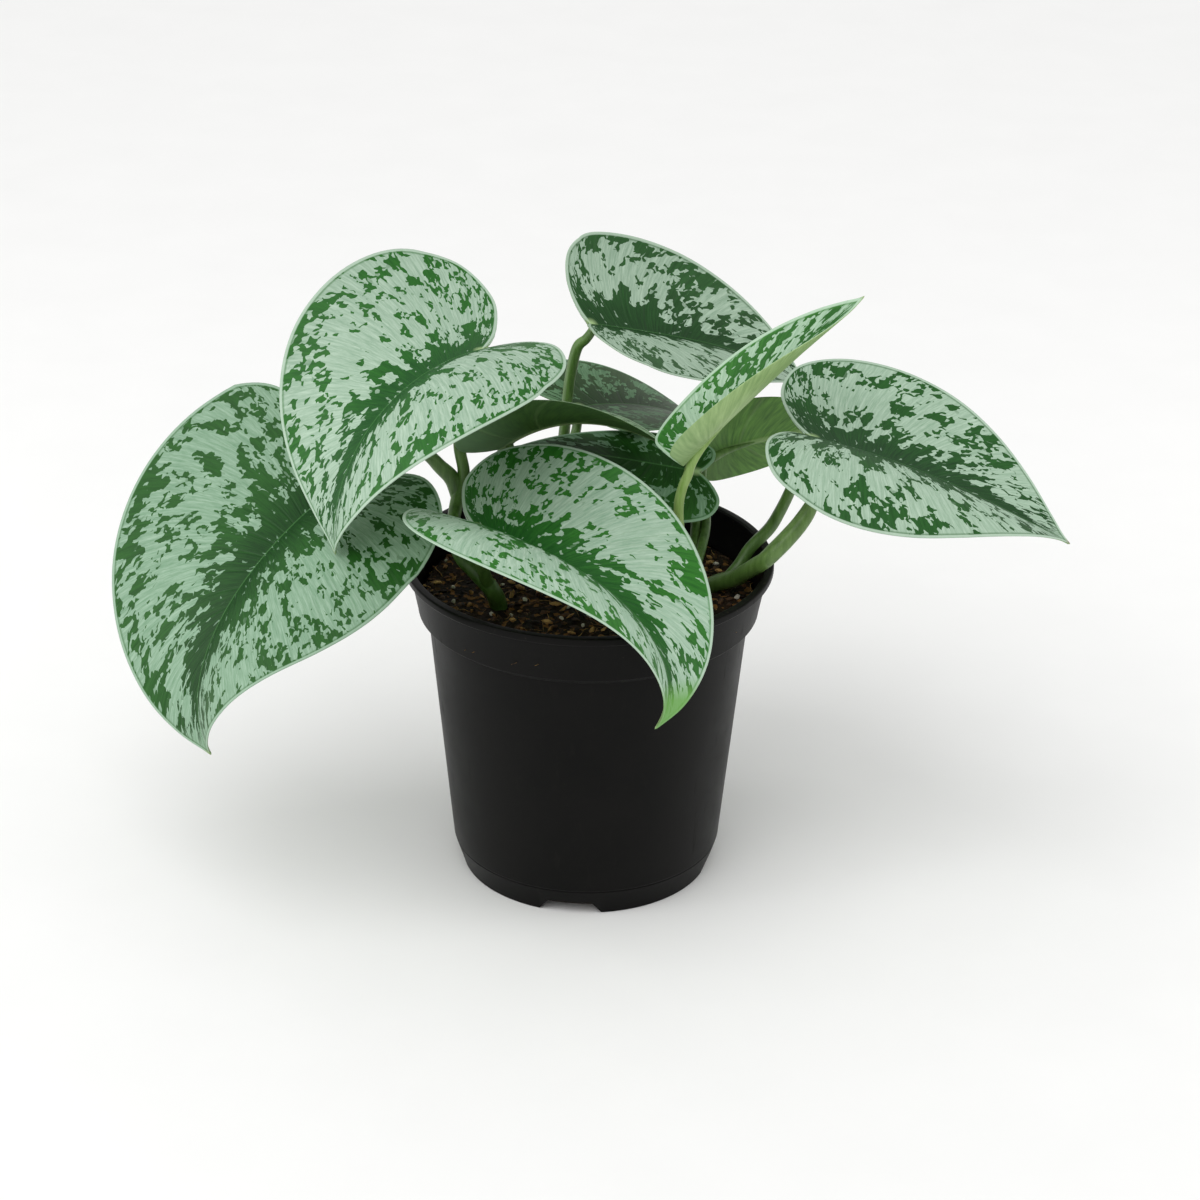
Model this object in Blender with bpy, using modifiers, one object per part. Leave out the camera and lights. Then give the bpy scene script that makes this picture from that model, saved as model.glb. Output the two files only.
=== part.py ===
"""Satin pothos in a 105 mm nursery pot: pot, potting mix, four vines with their petioles, and ten leaves.

Run with: blender --background --python part.py
The origin is on the pot's axis, at the flat underside of its floor. +Z is up and -Y is the front.
Sizes below are in millimetres and angles in degrees.
"""

from dataclasses import dataclass
from math import cos, pi, radians, sin

import bmesh
import bpy
from mathutils import Quaternion, Vector, noise

MM = 0.001
GAP = 0.3

# The pot is one thin moulded shell.
LIP_RADIUS = 52.5
LIP_TOP = 95.8
LIP_HEIGHT = 2.3
LIP_WIDTH = 2.2
COLLAR_TOP_RADIUS = 50.8
COLLAR_RADIUS = 48.3
COLLAR_BOTTOM = 80.7
BODY_TOP_RADIUS = 45.8
GROOVE_RADIUS = 38.7
GROOVE_HEIGHT = 8.3
GROOVE_DEPTH = 0.35
FOOT_RADIUS = 36.0
WALL = 1.2
FLOOR = 1.4
POT_STEPS = 56

# Drain notches are cut through the foot and the edge of the floor.
NOTCHES = 4
NOTCH_TURN = -97.0
NOTCH_WIDTH = 18.0
NOTCH_TOP_WIDTH = 12.4
NOTCH_HEIGHT = 4.2
NOTCH_INNER = 28.0
NOTCH_OUTER = 42.0

# The potting mix fills the pot to about 10 mm under the lip.
SOIL_LEVEL = 85.0
SOIL_BUMP = 1.1
SOIL_BUMP_SCALE = 9.0
SOIL_RINGS = 9
SOIL_STEPS = 36
STEM_DEPTH = 14.0

# Leaf blades are laid out along the side veins, which leave the midrib ever further apart.
BLADE = 0.7
BLADE_ROWS = 22
BLADE_COLUMNS = 8
BLADE_WELD = 0.04
VEIN_POWER = 2.2
VEIN_BULGE = 0.16
SPINE_STEP = 1.0
LOBE_REACH = 24.0

# A petiole meets its blade just ahead of the notch between the lobes.
SEAT_ALONG = 2.2
SEAT_STEP = 3.5
ROUTE_SPANS = 3
STEM_ROUNDNESS = 2
PETIOLE_ROUNDNESS = 1
TUBE_WELD = 0.01

# Half of the heart-shaped outline, from the notch where the petiole joins, round the lobe, to the tip.
# Each pair is (part of the half width, part of the length).
HEART = [
    (0.0, 0.0),
    (0.20, -0.085),
    (0.50, -0.150),
    (0.80, -0.105),
    (0.97, 0.05),
    (1.0, 0.24),
    (0.91, 0.44),
    (0.72, 0.62),
    (0.46, 0.785),
    (0.21, 0.905),
    (0.065, 0.965),
    (0.0, 1.0),
]


@dataclass
class Leaf:
    """One blade. Left and right are as seen from above, looking from the petiole towards the tip."""

    name: str
    base: tuple  # where the midrib starts
    heading: float  # of the midrib's start, counted from +X towards +Y
    rise: float
    roll: float
    length: float
    widths: tuple  # half widths, left and right
    lobes: tuple  # how far each basal lobe reaches back, where 1 is as in HEART
    droop: tuple  # bend down: spread over the length, and gathered at the tip
    sweep: tuple  # bend to the right, in the same way
    twist: float
    folds: tuple  # how each half rises from the midrib
    curls: tuple  # how each half turns further up on its way to the margin
    back_droop: float  # bend down of the lobes behind the petiole
    fullness: float  # over 1 where the blade is broad near its base


@dataclass
class Stem:
    """A round stem or petiole along its route of (x, y, z, radius), with the blade that it carries."""

    route: list
    blade: str = ""
    lean: float = 0.0  # 0 where it meets the blade from straight beneath, 90 from behind
    tip_radius: float = 1.4


LEAVES = [
    Leaf("leaf_top_left", (-29, -11.5, 163.2), -153, -2, 12, 77, (42, 47), (1.05, 1.2), (90, 2), (8, 3), -6,
         (17, 9), (-53, 50), -4, 1.15),
    Leaf("leaf_big_left", (-71.8, -6, 118), -150, -29, 1, 87, (49.5, 51), (1.5, 0.9), (36, 45), (-12, -4), 18,
         (12, 20), (-52, 16), -4, 0.84),
    Leaf("leaf_front", (-32, -30.5, 119.3), -25, -4, -23, 87, (41, 37), (0.95, 0.8), (36, 80), (-10, 6), 3,
         (22, 17), (36, -47), -3, 1.0),
    Leaf("leaf_back_top", (-0.8, 34, 153), 30, -17, 6, 85, (29.5, 37), (0.35, 0.65), (4, 35), (7, 3), 7,
         (27, 17), (40, -26), -4, 1.15),
    Leaf("leaf_young_curled", (25.2, -11.5, 129.6), 20, 42, -8, 69, (13.8, 13), (0.1, 0), (8, 0), (-3, -2), 22,
         (38, 26), (-4, 56), -3, 0.85),
    Leaf("leaf_right", (61, 0, 133.4), -6, -11, -13, 79, (39, 40), (0.85, 1.0), (20, -5), (8, -9), 9,
         (17, 17), (24, -75), -3, 1.0),
    Leaf("leaf_centre_folded", (-25, 7, 126), 5, 38, -22, 49.5, (22, 26), (1.0, 1.0), (74, -10), (5, -1), 12,
         (-6, 26), (10, 0), -3, 1.05),
    Leaf("leaf_back_shaded", (-4, 46, 122), 35, -5, 2, 62, (24, 28), (1.0, 0.3), (36, 10), (-5, 0), -5,
         (14, 8), (0, -5), -3, 1.0),
    Leaf("leaf_low_inner", (31.3, 15, 115.5), 172, 7.5, -13, 55, (22, 15), (0.9, 0.4), (8, 10), (5, 2), 0,
         (0, 0), (-15, 0), -3, 1.0),
    Leaf("leaf_right_inner", (33, 31, 114), 15, 13, -75, 44, (12.5, 15), (0.1, 0.1), (9, -2), (-6, 0), 0,
         (5, 5), (0, 4), -3, 0.85),
]
SIDES = {"left": 0, "right": 1}

VINES = {
    "vine_left": [
        Stem([(-24, -8, 72, 2.7), (-25.2, -10.2, 85, 2.7), (-27, -14, 92, 2.6), (-31.8, -13, 97, 2.3),
              (-36, -11, 101, 2.1), (-38, -6, 106, 2.0), (-37.5, 0, 111, 2.0), (-36, 3, 117, 2.0),
              (-35.4, 3, 121, 1.8), (-36.6, 2, 130, 1.7), (-35.5, -1, 143.5, 1.6), (-31.9, -7, 153.6, 1.5)],
             "leaf_top_left", 20),
        Stem([(-37, 2, 112, 1.8), (-38.5, 3, 118, 2.4), (-42, 3, 122, 2.2), (-46, 3, 126, 1.9),
              (-54, 3, 130, 1.7), (-62, 1, 129, 1.6)],
             "leaf_big_left", 60),
        Stem([(-28, -14, 93, 2.0), (-29.5, -18, 100, 1.8), (-30.6, -26, 108.5, 1.6)],
             "leaf_front", 20),
    ],
    "vine_middle": [
        Stem([(-11, 17, 72, 2.4), (-11, 18, 85, 2.4), (-10, 26, 97, 2.2), (-8.8, 33, 108, 1.9),
              (-7.6, 35, 118, 1.7), (-6.8, 36, 128, 1.6), (-5.8, 35.5, 137, 1.6), (-4, 35, 145.3, 1.6)],
             "leaf_back_top", 20),
        Stem([(-11, 18.5, 88, 1.8), (-15, 13, 96, 1.7), (-21, 8.5, 106, 1.5), (-24, 6.5, 117, 1.5)],
             "leaf_centre_folded", 20),
        Stem([(-10, 29, 101, 1.8), (-7.5, 39, 107, 1.6), (-4.5, 44.5, 114, 1.5)],
             "leaf_back_shaded", 20),
    ],
    "vine_young": [
        Stem([(27, -8, 72, 2.2), (27.2, -8.5, 85, 2.2), (27, -9.5, 97, 2.0), (25.2, -10.3, 108, 1.6),
              (24.8, -11, 117, 1.45), (25.7, -11.3, 122.5, 1.4)],
             "leaf_young_curled", 60),
        Stem([(27.4, -8.8, 89.5, 1.8), (29.5, 2, 96, 1.6), (30.5, 11, 103, 1.5)],
             "leaf_low_inner", 20),
        Stem([(27.4, -8.8, 88.8, 1.8), (30.5, -2, 95, 1.6), (33.2, 10, 101.5, 1.5), (32.4, 23, 106, 1.4)],
             "leaf_right_inner", 75),
    ],
    "vine_right": [
        Stem([(33, 4, 72, 2.6), (34.3, 2.5, 85, 2.7), (41.4, -3, 91.1, 2.7), (46.2, -8, 96.9, 2.6),
              (50.6, -11, 102, 2.6), (57.4, -9, 109, 2.5), (61.3, -7, 114.3, 2.2), (62.9, -7, 120, 1.4),
              (63.3, -7.5, 124, 0.7)]),
        Stem([(38.5, -0.5, 88.6, 1.9), (42.5, 3, 92.2, 1.9), (45.8, 5, 96.8, 1.9), (51, 5.5, 102.6, 1.9),
              (53.7, 4.5, 108.2, 1.8), (56.3, 3, 115.3, 1.7), (59, 1.5, 124, 1.5)],
             "leaf_right", 20),
    ],
}


def smooth_between(points, place):
    """The point at place, from 0 to 1, on a smooth curve through the points."""
    spans = len(points) - 1
    span = min(int(place * spans), spans - 1)
    part = place * spans - span
    before = points[span - 1] if span else 2 * points[0] - points[1]
    after = points[span + 2] if span + 2 <= spans else 2 * points[-1] - points[-2]
    start, end = points[span], points[span + 1]
    return (
        start * 2
        + (end - before) * part
        + (before * 2 - start * 5 + end * 4 - after) * part**2
        + (start * 3 - before - end * 3 + after) * part**3
    ) / 2


def heart_margin(leaf, side, place):
    """The flat outline's (out, along) at place, from the petiole at 0 to the tip at 1."""
    points = [Vector((x, y * leaf.lobes[side] if y < 0 else y)) for x, y in HEART]
    out, along = smooth_between(points, place)
    if along > 0:
        along **= leaf.fullness
    return out * leaf.widths[side], along * leaf.length


def heart_point(leaf, side, place, across):
    """A flat point on the vein that leaves the midrib at place, where across is 0 there and 1 at the margin."""
    out, along = heart_margin(leaf, side, place)
    start = leaf.length * place**VEIN_POWER
    middle_out = out / 2
    middle_along = (start + along) / 2 - VEIN_BULGE * out
    near, far = (1 - across) ** 2, across**2
    between = 2 * across * (1 - across)
    return between * middle_out + far * out, near * start + between * middle_along + far * along


def start_frame(leaf):
    """The midrib's first direction, the blade's upward normal and the direction to its right half."""
    heading, rise, roll = radians(leaf.heading), radians(leaf.rise), radians(leaf.roll)
    along = Vector((cos(heading) * cos(rise), sin(heading) * cos(rise), sin(rise)))
    up = Vector((-cos(heading) * sin(rise), -sin(heading) * sin(rise), cos(rise)))
    up.rotate(Quaternion(along, roll))
    return along, up


def midrib(leaf):
    """Frames (place, along, up) at each SPINE_STEP from the ends of the lobes to the tip."""
    halves = []
    for end in (-LOBE_REACH, leaf.length):
        steps = round(abs(end) / SPINE_STEP)
        step = end / steps
        place = Vector(leaf.base)
        along, up = start_frame(leaf)
        frames = [(place, along, up)]
        for number in range(steps):
            part = (number + 0.5) * step / leaf.length
            if part > 0:
                tip_share = 4 * part**3
                down = leaf.droop[0] + leaf.droop[1] * tip_share
                right = leaf.sweep[0] + leaf.sweep[1] * tip_share
                turn = leaf.twist
            else:
                down, right, turn = leaf.back_droop, 0, 0
            spin = (along * turn - up * right - along.cross(up) * down) * radians(step / leaf.length)
            bend = Quaternion(spin.normalized(), spin.length) if spin.length else Quaternion()
            turned = bend @ along
            place = place + (along + turned) * (step / 2)
            along, up = turned, bend @ up
            frames.append((place, along, up))
        halves.append(frames)
    return halves[0][:0:-1] + halves[1]


def frame_at(frames, leaf, along):
    """The midrib's frame at a length from the petiole, which is below 0 in the lobes."""
    behind = round(LOBE_REACH / SPINE_STEP)
    ahead = len(frames) - 1 - behind
    index = behind + along * (behind / LOBE_REACH if along < 0 else ahead / leaf.length)
    index = min(max(index, 0.0), len(frames) - 1.001)
    first = int(index)
    return tuple(a.lerp(b, index - first) for a, b in zip(frames[first], frames[first + 1]))


def blade_point(leaf, frames, side, place, across):
    """A point of the blade's middle surface, bent and folded, in metres."""
    out, along = heart_point(leaf, side, place, across)
    centre, ahead, up = frame_at(frames, leaf, along)
    ahead.normalize()
    up.normalize()
    outward = ahead.cross(up) * (1 if side else -1)
    fold = radians(leaf.folds[side])
    turn = radians(leaf.curls[side]) / leaf.widths[side]
    if abs(turn) < 1e-6:
        turn = 1e-6
    flat = (sin(fold + turn * out) - sin(fold)) / turn
    lift = (cos(fold) - cos(fold + turn * out)) / turn
    return (centre + outward * flat + up * lift) * MM


def material(name, colour, roughness, metallic=0.0):
    made = bpy.data.materials.new(name)
    made.use_nodes = True
    shader = made.node_tree.nodes["Principled BSDF"]
    shader.inputs["Base Color"].default_value = (*colour, 1)
    shader.inputs["Roughness"].default_value = roughness
    shader.inputs["Metallic"].default_value = metallic
    return made


def add_object(name, data, collection, finish=None):
    made = bpy.data.objects.new(name, data)
    collection.objects.link(made)
    if finish:
        data.materials.append(finish)
    return made


def make_blade(leaf, collection, finish):
    """One blade: a grid laid over the heart, bent to its place, then thickened."""
    frames = midrib(leaf)
    shape = bmesh.new()
    bmesh.ops.create_grid(shape, x_segments=BLADE_COLUMNS, y_segments=BLADE_ROWS, size=1)
    bmesh.ops.triangulate(shape, faces=shape.faces)
    for point in shape.verts:
        side = SIDES["right"] if point.co.x > 0 else SIDES["left"]
        point.co = blade_point(leaf, frames, side, (point.co.y + 1) / 2, abs(point.co.x))
    bmesh.ops.remove_doubles(shape, verts=shape.verts, dist=BLADE_WELD * MM)
    mesh = bpy.data.meshes.new(leaf.name)
    shape.to_mesh(mesh)
    shape.free()
    mesh.shade_smooth()
    blade = add_object(leaf.name, mesh, collection, finish)
    thicken = blade.modifiers.new("blade thickness", "SOLIDIFY")
    thicken.thickness = BLADE * MM
    thicken.offset = 0
    return blade


def seat_points(leaf, lean, radius):
    """The petiole's last two points, just clear of the blade's underside."""
    frames = midrib(leaf)
    place, along, up = frame_at(frames, leaf, SEAT_ALONG)
    keel = BLADE / 2 / cos(radians(max(leaf.folds)))
    depth = keel + GAP + radius * sin(radians(lean))
    end = place - up * depth
    direction = up * cos(radians(lean)) + along * sin(radians(lean))
    return [end - direction * SEAT_STEP, end]


def tube(name, points, radii, collection, roundness=STEM_ROUNDNESS):
    """A closed round tube through the points, as a mesh."""
    curve = bpy.data.curves.new(name, "CURVE")
    curve.dimensions = "3D"
    curve.bevel_depth = MM
    curve.bevel_resolution = roundness
    curve.use_fill_caps = True
    count = (len(points) - 1) * ROUTE_SPANS + 1
    spline = curve.splines.new("POLY")
    spline.points.add(count - 1)
    widths = [Vector((radius, 0)) for radius in radii]
    for number, point in enumerate(spline.points):
        place = number / (count - 1)
        point.co = (*smooth_between(points, place) * MM, 1)
        point.radius = smooth_between(widths, place).x
    guide = add_object(name + "_curve", curve, collection)
    bpy.context.view_layer.update()
    mesh = bpy.data.meshes.new_from_object(guide.evaluated_get(bpy.context.evaluated_depsgraph_get()))
    bpy.data.objects.remove(guide)
    shape = bmesh.new()
    shape.from_mesh(mesh)
    bmesh.ops.remove_doubles(shape, verts=shape.verts, dist=TUBE_WELD * MM)
    bmesh.ops.recalc_face_normals(shape, faces=shape.faces)
    shape.to_mesh(mesh)
    shape.free()
    return add_object(name, mesh, collection)


def make_vine(name, stems, leaves, parts, pieces, finish):
    """All stems and petioles that grow from one shoot, joined in one solid."""
    for number, stem in enumerate(stems):
        points = [Vector(row[:3]) for row in stem.route]
        radii = [row[3] for row in stem.route]
        if stem.blade:
            points += seat_points(leaves[stem.blade], stem.lean, stem.tip_radius)
            radii += [stem.tip_radius, stem.tip_radius]
        roundness = PETIOLE_ROUNDNESS if number else STEM_ROUNDNESS
        piece = tube(f"{name}_piece_{number}", points, radii, pieces, roundness)
        if number == 0:
            vine = piece
            continue
        join = vine.modifiers.new(piece.name, "BOOLEAN")
        join.operation = "UNION"
        join.object = piece
        piece.hide_render = True
        piece.display_type = "WIRE"
    bpy.context.view_layer.update()
    mesh = bpy.data.meshes.new_from_object(vine.evaluated_get(bpy.context.evaluated_depsgraph_get()))
    for piece in list(pieces.objects):
        bpy.data.objects.remove(piece)
    mesh.materials.clear()
    mesh.shade_smooth()
    mesh.set_sharp_from_angle(angle=radians(50))
    return add_object(name, mesh, parts, finish)


def stem_hole(name, stem, cutters):
    """The plain hole that the stem stands in: its own lower end, a little larger."""
    rows = [row for row in stem.route if row[2] < SOIL_LEVEL + STEM_DEPTH]
    points = [Vector(row[:3]) for row in rows]
    points[0] = points[0] - Vector((0, 0, GAP))
    radii = [row[3] + GAP for row in rows]
    hole = tube(name, points, radii, cutters)
    hole.hide_render = True
    hole.display_type = "WIRE"
    return hole


def turned(name, profile, steps, collection, finish):
    """A solid of revolution from a profile of (radius, height)."""
    mesh = bpy.data.meshes.new(name)
    shape = bmesh.new()
    points = [shape.verts.new((radius * MM, 0, height * MM)) for radius, height in profile]
    for first, second in zip(points, points[1:]):
        shape.edges.new((first, second))
    shape.to_mesh(mesh)
    shape.free()
    made = add_object(name, mesh, collection, finish)
    screw = made.modifiers.new("turn", "SCREW")
    screw.steps = screw.render_steps = steps
    screw.use_merge_vertices = True
    screw.merge_threshold = 0.0001
    return made


def rounded(centre, radius, start, end, count):
    """Points along an arc, with its angles in degrees."""
    turns = [radians(start + (end - start) * number / (count - 1)) for number in range(count)]
    return [(centre[0] + radius * cos(turn), centre[1] + radius * sin(turn)) for turn in turns]


def body_radius(height):
    """The outer wall's radius between the groove and the collar."""
    share = (height - GROOVE_HEIGHT) / (COLLAR_BOTTOM - GROOVE_HEIGHT)
    return GROOVE_RADIUS + (BODY_TOP_RADIUS - GROOVE_RADIUS) * share


def pot_profile():
    """From the floor's inside centre, up the inner wall, over the lip and down the outside."""
    lip_round = LIP_HEIGHT / 2
    inner_foot = GROOVE_HEIGHT
    step = COLLAR_BOTTOM - WALL
    inside = [
        (0, FLOOR),
        (FOOT_RADIUS - WALL - 0.6, FLOOR),
        (FOOT_RADIUS - WALL + 0.3, FLOOR + 0.9),
        (GROOVE_RADIUS - WALL, inner_foot),
        (body_radius(step - 2) - WALL, step - 2),
        (COLLAR_RADIUS - WALL - 0.3, step + 0.6),
        (COLLAR_RADIUS - WALL, step + 1.5),
        (LIP_RADIUS - LIP_WIDTH - 0.2, LIP_TOP - 0.6),
    ]
    lip = rounded((LIP_RADIUS - lip_round + 0.35, LIP_TOP - lip_round), lip_round - 0.35, 90, -90, 5)
    lip = [(LIP_RADIUS - LIP_WIDTH + 0.3, LIP_TOP)] + [
        (radius, height + (0.35 if height > LIP_TOP - lip_round else -0.35)) for radius, height in lip
    ]
    collar = [
        (COLLAR_TOP_RADIUS, LIP_TOP - LIP_HEIGHT),
        (COLLAR_TOP_RADIUS - 0.1, LIP_TOP - LIP_HEIGHT - 0.4),
        (COLLAR_RADIUS + 0.15, COLLAR_BOTTOM + 0.7),
        (COLLAR_RADIUS - 0.2, COLLAR_BOTTOM),
        (BODY_TOP_RADIUS, COLLAR_BOTTOM - 0.1),
    ]
    groove = [
        (body_radius(GROOVE_HEIGHT + 0.5), GROOVE_HEIGHT + 0.5),
        (GROOVE_RADIUS - GROOVE_DEPTH, GROOVE_HEIGHT),
        (GROOVE_RADIUS - 0.15, GROOVE_HEIGHT - 0.5),
    ]
    foot = [(FOOT_RADIUS + 0.1, 0.5), (FOOT_RADIUS - 0.4, 0), (0, 0)]
    return inside + lip + collar + groove + foot


def notch_cutter(turn, cutters):
    """A block with slanted sides, which opens the foot and the floor's edge."""
    shape = bmesh.new()
    bmesh.ops.create_cube(shape, size=1)
    for point in shape.verts:
        top = point.co.z > 0
        width = NOTCH_TOP_WIDTH if top else NOTCH_WIDTH + (NOTCH_WIDTH - NOTCH_TOP_WIDTH) / NOTCH_HEIGHT
        point.co.x = NOTCH_OUTER if point.co.x > 0 else NOTCH_INNER
        point.co.y *= width
        point.co.z = NOTCH_HEIGHT if top else -1
        point.co *= MM
    mesh = bpy.data.meshes.new("notch")
    shape.to_mesh(mesh)
    shape.free()
    cutter = add_object("notch", mesh, cutters)
    cutter.rotation_euler.z = turn
    cutter.hide_render = True
    cutter.display_type = "WIRE"
    return cutter


def cut(target, cutter):
    difference = target.modifiers.new(cutter.name, "BOOLEAN")
    difference.operation = "DIFFERENCE"
    difference.object = cutter


def make_pot(parts, cutters):
    pot = turned("pot", pot_profile(), POT_STEPS, parts, material("black_polypropylene", (0.012, 0.012, 0.013), 0.45))
    for number in range(NOTCHES):
        cut(pot, notch_cutter(radians(NOTCH_TURN + 360 * number / NOTCHES), cutters))
    pot.data.shade_smooth()
    pot.data.set_sharp_from_angle(angle=radians(40))
    return pot


def inner_wall(height):
    """The radius of the pot's inner wall, less the gap that the mix keeps to it."""
    if height > COLLAR_BOTTOM:
        return COLLAR_RADIUS - WALL - GAP
    return body_radius(max(height, GROOVE_HEIGHT)) - WALL - GAP


def soil_bump(x, y):
    place = Vector((x / SOIL_BUMP_SCALE, y / SOIL_BUMP_SCALE, 0))
    return SOIL_BUMP * noise.fractal(place, 1.0, 2.0, 3, noise_basis="PERLIN_ORIGINAL")


def make_soil(parts, cutters):
    """The potting mix: a plug with a crumbly top, and a hole for each stem."""
    step = COLLAR_BOTTOM - WALL
    side = [
        (inner_wall(SOIL_LEVEL) - 0.2, SOIL_LEVEL),
        (inner_wall(SOIL_LEVEL) - 0.2, step + 2.2),
        (body_radius(step - 2) - WALL - GAP - 0.2, step - 2.2),
        (inner_wall(GROOVE_HEIGHT), GROOVE_HEIGHT),
        (FOOT_RADIUS - WALL - GAP, FLOOR + 1.4),
        (FOOT_RADIUS - WALL - 1.2, FLOOR + GAP),
        (0, FLOOR + GAP),
    ]
    edge = side[0][0]
    top = [(edge * number / SOIL_RINGS, SOIL_LEVEL) for number in range(SOIL_RINGS)]
    soil = turned("soil", top + side, SOIL_STEPS, parts, material("potting_mix", (0.035, 0.021, 0.012), 0.95))
    bpy.context.view_layer.update()
    mesh = bpy.data.meshes.new_from_object(soil.evaluated_get(bpy.context.evaluated_depsgraph_get()))
    soil.modifiers.clear()
    soil.data = mesh
    for point in mesh.vertices:
        x, y, z = point.co / MM
        inside = min(1.0, max(0.0, (edge - (x * x + y * y) ** 0.5) / 3))
        if z > SOIL_LEVEL - 0.01:
            point.co.z += soil_bump(x, y) * inside * MM
    for name, stems in VINES.items():
        cut(soil, stem_hole(f"hole_{name}", stems[0], cutters))
    return soil


def main():
    for old in list(bpy.data.objects):
        bpy.data.objects.remove(old)
    scene = bpy.context.scene
    parts = bpy.data.collections.new("satin_pothos")
    cutters = bpy.data.collections.new("cutters")
    pieces = bpy.data.collections.new("stem_pieces")
    for collection in (parts, cutters, pieces):
        scene.collection.children.link(collection)
    leaves = {leaf.name: leaf for leaf in LEAVES}
    make_pot(parts, cutters)
    make_soil(parts, cutters)
    for number, (name, stems) in enumerate(VINES.items()):
        green = material(f"stem_green_{number + 1}", (0.10, 0.20, 0.045), 0.5)
        make_vine(name, stems, leaves, parts, pieces, green)
    for number, leaf in enumerate(LEAVES):
        silver = material(f"satin_leaf_{number + 1}", (0.30, 0.43, 0.33), 0.42)
        make_blade(leaf, parts, silver)
    bpy.data.collections.remove(pieces)
    cutters.hide_render = True


main()
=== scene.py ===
"""Satin pothos in a black nursery pot, dressed for the studio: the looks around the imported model."""

from dataclasses import dataclass
from math import cos, pi, radians, sin

import bmesh
import bpy
import numpy as np
from mathutils import Matrix, Quaternion, Vector, noise


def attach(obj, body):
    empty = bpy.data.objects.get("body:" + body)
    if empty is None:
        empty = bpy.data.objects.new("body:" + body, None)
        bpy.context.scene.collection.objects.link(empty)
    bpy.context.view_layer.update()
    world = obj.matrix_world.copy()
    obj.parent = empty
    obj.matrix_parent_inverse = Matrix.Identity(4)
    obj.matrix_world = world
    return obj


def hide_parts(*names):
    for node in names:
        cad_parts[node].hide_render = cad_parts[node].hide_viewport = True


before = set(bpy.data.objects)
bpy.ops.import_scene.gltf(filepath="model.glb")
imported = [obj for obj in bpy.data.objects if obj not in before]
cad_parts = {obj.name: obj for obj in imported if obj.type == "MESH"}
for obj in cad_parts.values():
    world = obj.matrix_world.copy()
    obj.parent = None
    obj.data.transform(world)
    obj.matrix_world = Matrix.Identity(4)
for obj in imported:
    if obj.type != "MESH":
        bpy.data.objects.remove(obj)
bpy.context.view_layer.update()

# Nursery pot: one thin shell of black polypropylene, injection moulded. Its rolled lip stiffens the
# rim, a collar band steps in to the tapered wall, and four notches in the foot let the water out.
# Sizes in the whole file are in millimetres, and angles in degrees.
MM = 0.001
LIP_RADIUS = 52.5
LIP_TOP = 95.8
LIP_HEIGHT = 2.3
LIP_WIDTH = 2.2
LIP_ROUND = 0.55
COLLAR_TOP_RADIUS = 50.8
COLLAR_RADIUS = 48.3
COLLAR_BOTTOM = 80.7
BODY_TOP_RADIUS = 45.8
GROOVE_RADIUS = 38.7
GROOVE_HEIGHT = 8.3
GROOVE_DEPTH = 0.35
FOOT_RADIUS = 36.0
WALL = 1.2
FLOOR = 1.4
POT_STEPS = 160
NOTCHES = 4
NOTCH_TURN = -97.0
NOTCH_WIDTH = 18.0
NOTCH_TOP_WIDTH = 12.4
NOTCH_HEIGHT = 4.2
NOTCH_INNER = 28.0
NOTCH_OUTER = 42.0
SHARP_ANGLE = 35


def linear(hex_colour):
    """An sRGB hex colour as linear red, green, blue and alpha."""
    channels = [int(hex_colour[place:place + 2], 16) / 255 for place in (1, 3, 5)]
    return (*(c / 12.92 if c <= 0.04045 else ((c + 0.055) / 1.055) ** 2.4 for c in channels), 1.0)


def fill_inputs(tree, node, inputs):
    """Fills inputs with a value, a hex colour, a socket, or a node, which gives its first output in use."""
    for name, value in inputs.items():
        if isinstance(value, bpy.types.Node):
            value = next(socket for socket in value.outputs if socket.enabled)
        if isinstance(value, bpy.types.NodeSocket):
            tree.links.new(value, node.inputs[name])
        elif isinstance(value, str) and value.startswith("#"):
            node.inputs[name].default_value = linear(value)
        else:
            node.inputs[name].default_value = value


def add_node(tree, kind, inputs=None, **settings):
    """A node with its settings and links. In a colour mix, input 0 is the share of input 7 over input 6."""
    made = tree.nodes.new(kind)
    for name, value in settings.items():
        setattr(made, name, value)
    fill_inputs(tree, made, inputs or {})
    return made


def tint_over(tree, tint, marks):
    """The tint with others over it. Each mark names a pattern, the span over which its share goes from a
    first to a last value, and its colour."""
    for pattern, start, end, first, last, colour in marks:
        share = add_node(tree, "ShaderNodeMapRange", {
            "Value": pattern, "From Min": start, "From Max": end, "To Min": first, "To Max": last})
        tint = add_node(tree, "ShaderNodeMix", {0: share, 6: tint, 7: colour}, data_type="RGBA")
    return tint


def drawn_out(tree, texture, place, scales, **inputs):
    """A texture over places that are multiplied first, so that its pattern is drawn out one way."""
    drawn = add_node(tree, "ShaderNodeVectorMath", {0: place, 1: scales}, operation="MULTIPLY")
    return add_node(tree, texture, {"Vector": drawn, "Scale": 1.0, **inputs})


def new_group(name, inputs):
    """A Geometry Nodes group that takes these inputs and gives a geometry, and its inputs' sockets."""
    tree = bpy.data.node_groups.new(name, "GeometryNodeTree")
    tree.interface.new_socket("Geometry", in_out="OUTPUT", socket_type="NodeSocketGeometry")
    for label, kind in inputs.items():
        tree.interface.new_socket(label, in_out="INPUT", socket_type="NodeSocket" + kind)
    return tree, tree.nodes.new("NodeGroupInput").outputs


def close_group(tree, made, finish):
    """Ends a group: what it made becomes one mesh with the finish."""
    solid = add_node(tree, "GeometryNodeRealizeInstances", {0: made})
    done = add_node(tree, "GeometryNodeSetMaterial", {"Geometry": solid, "Material": finish})
    add_node(tree, "NodeGroupOutput", {0: done})
    return tree


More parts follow.
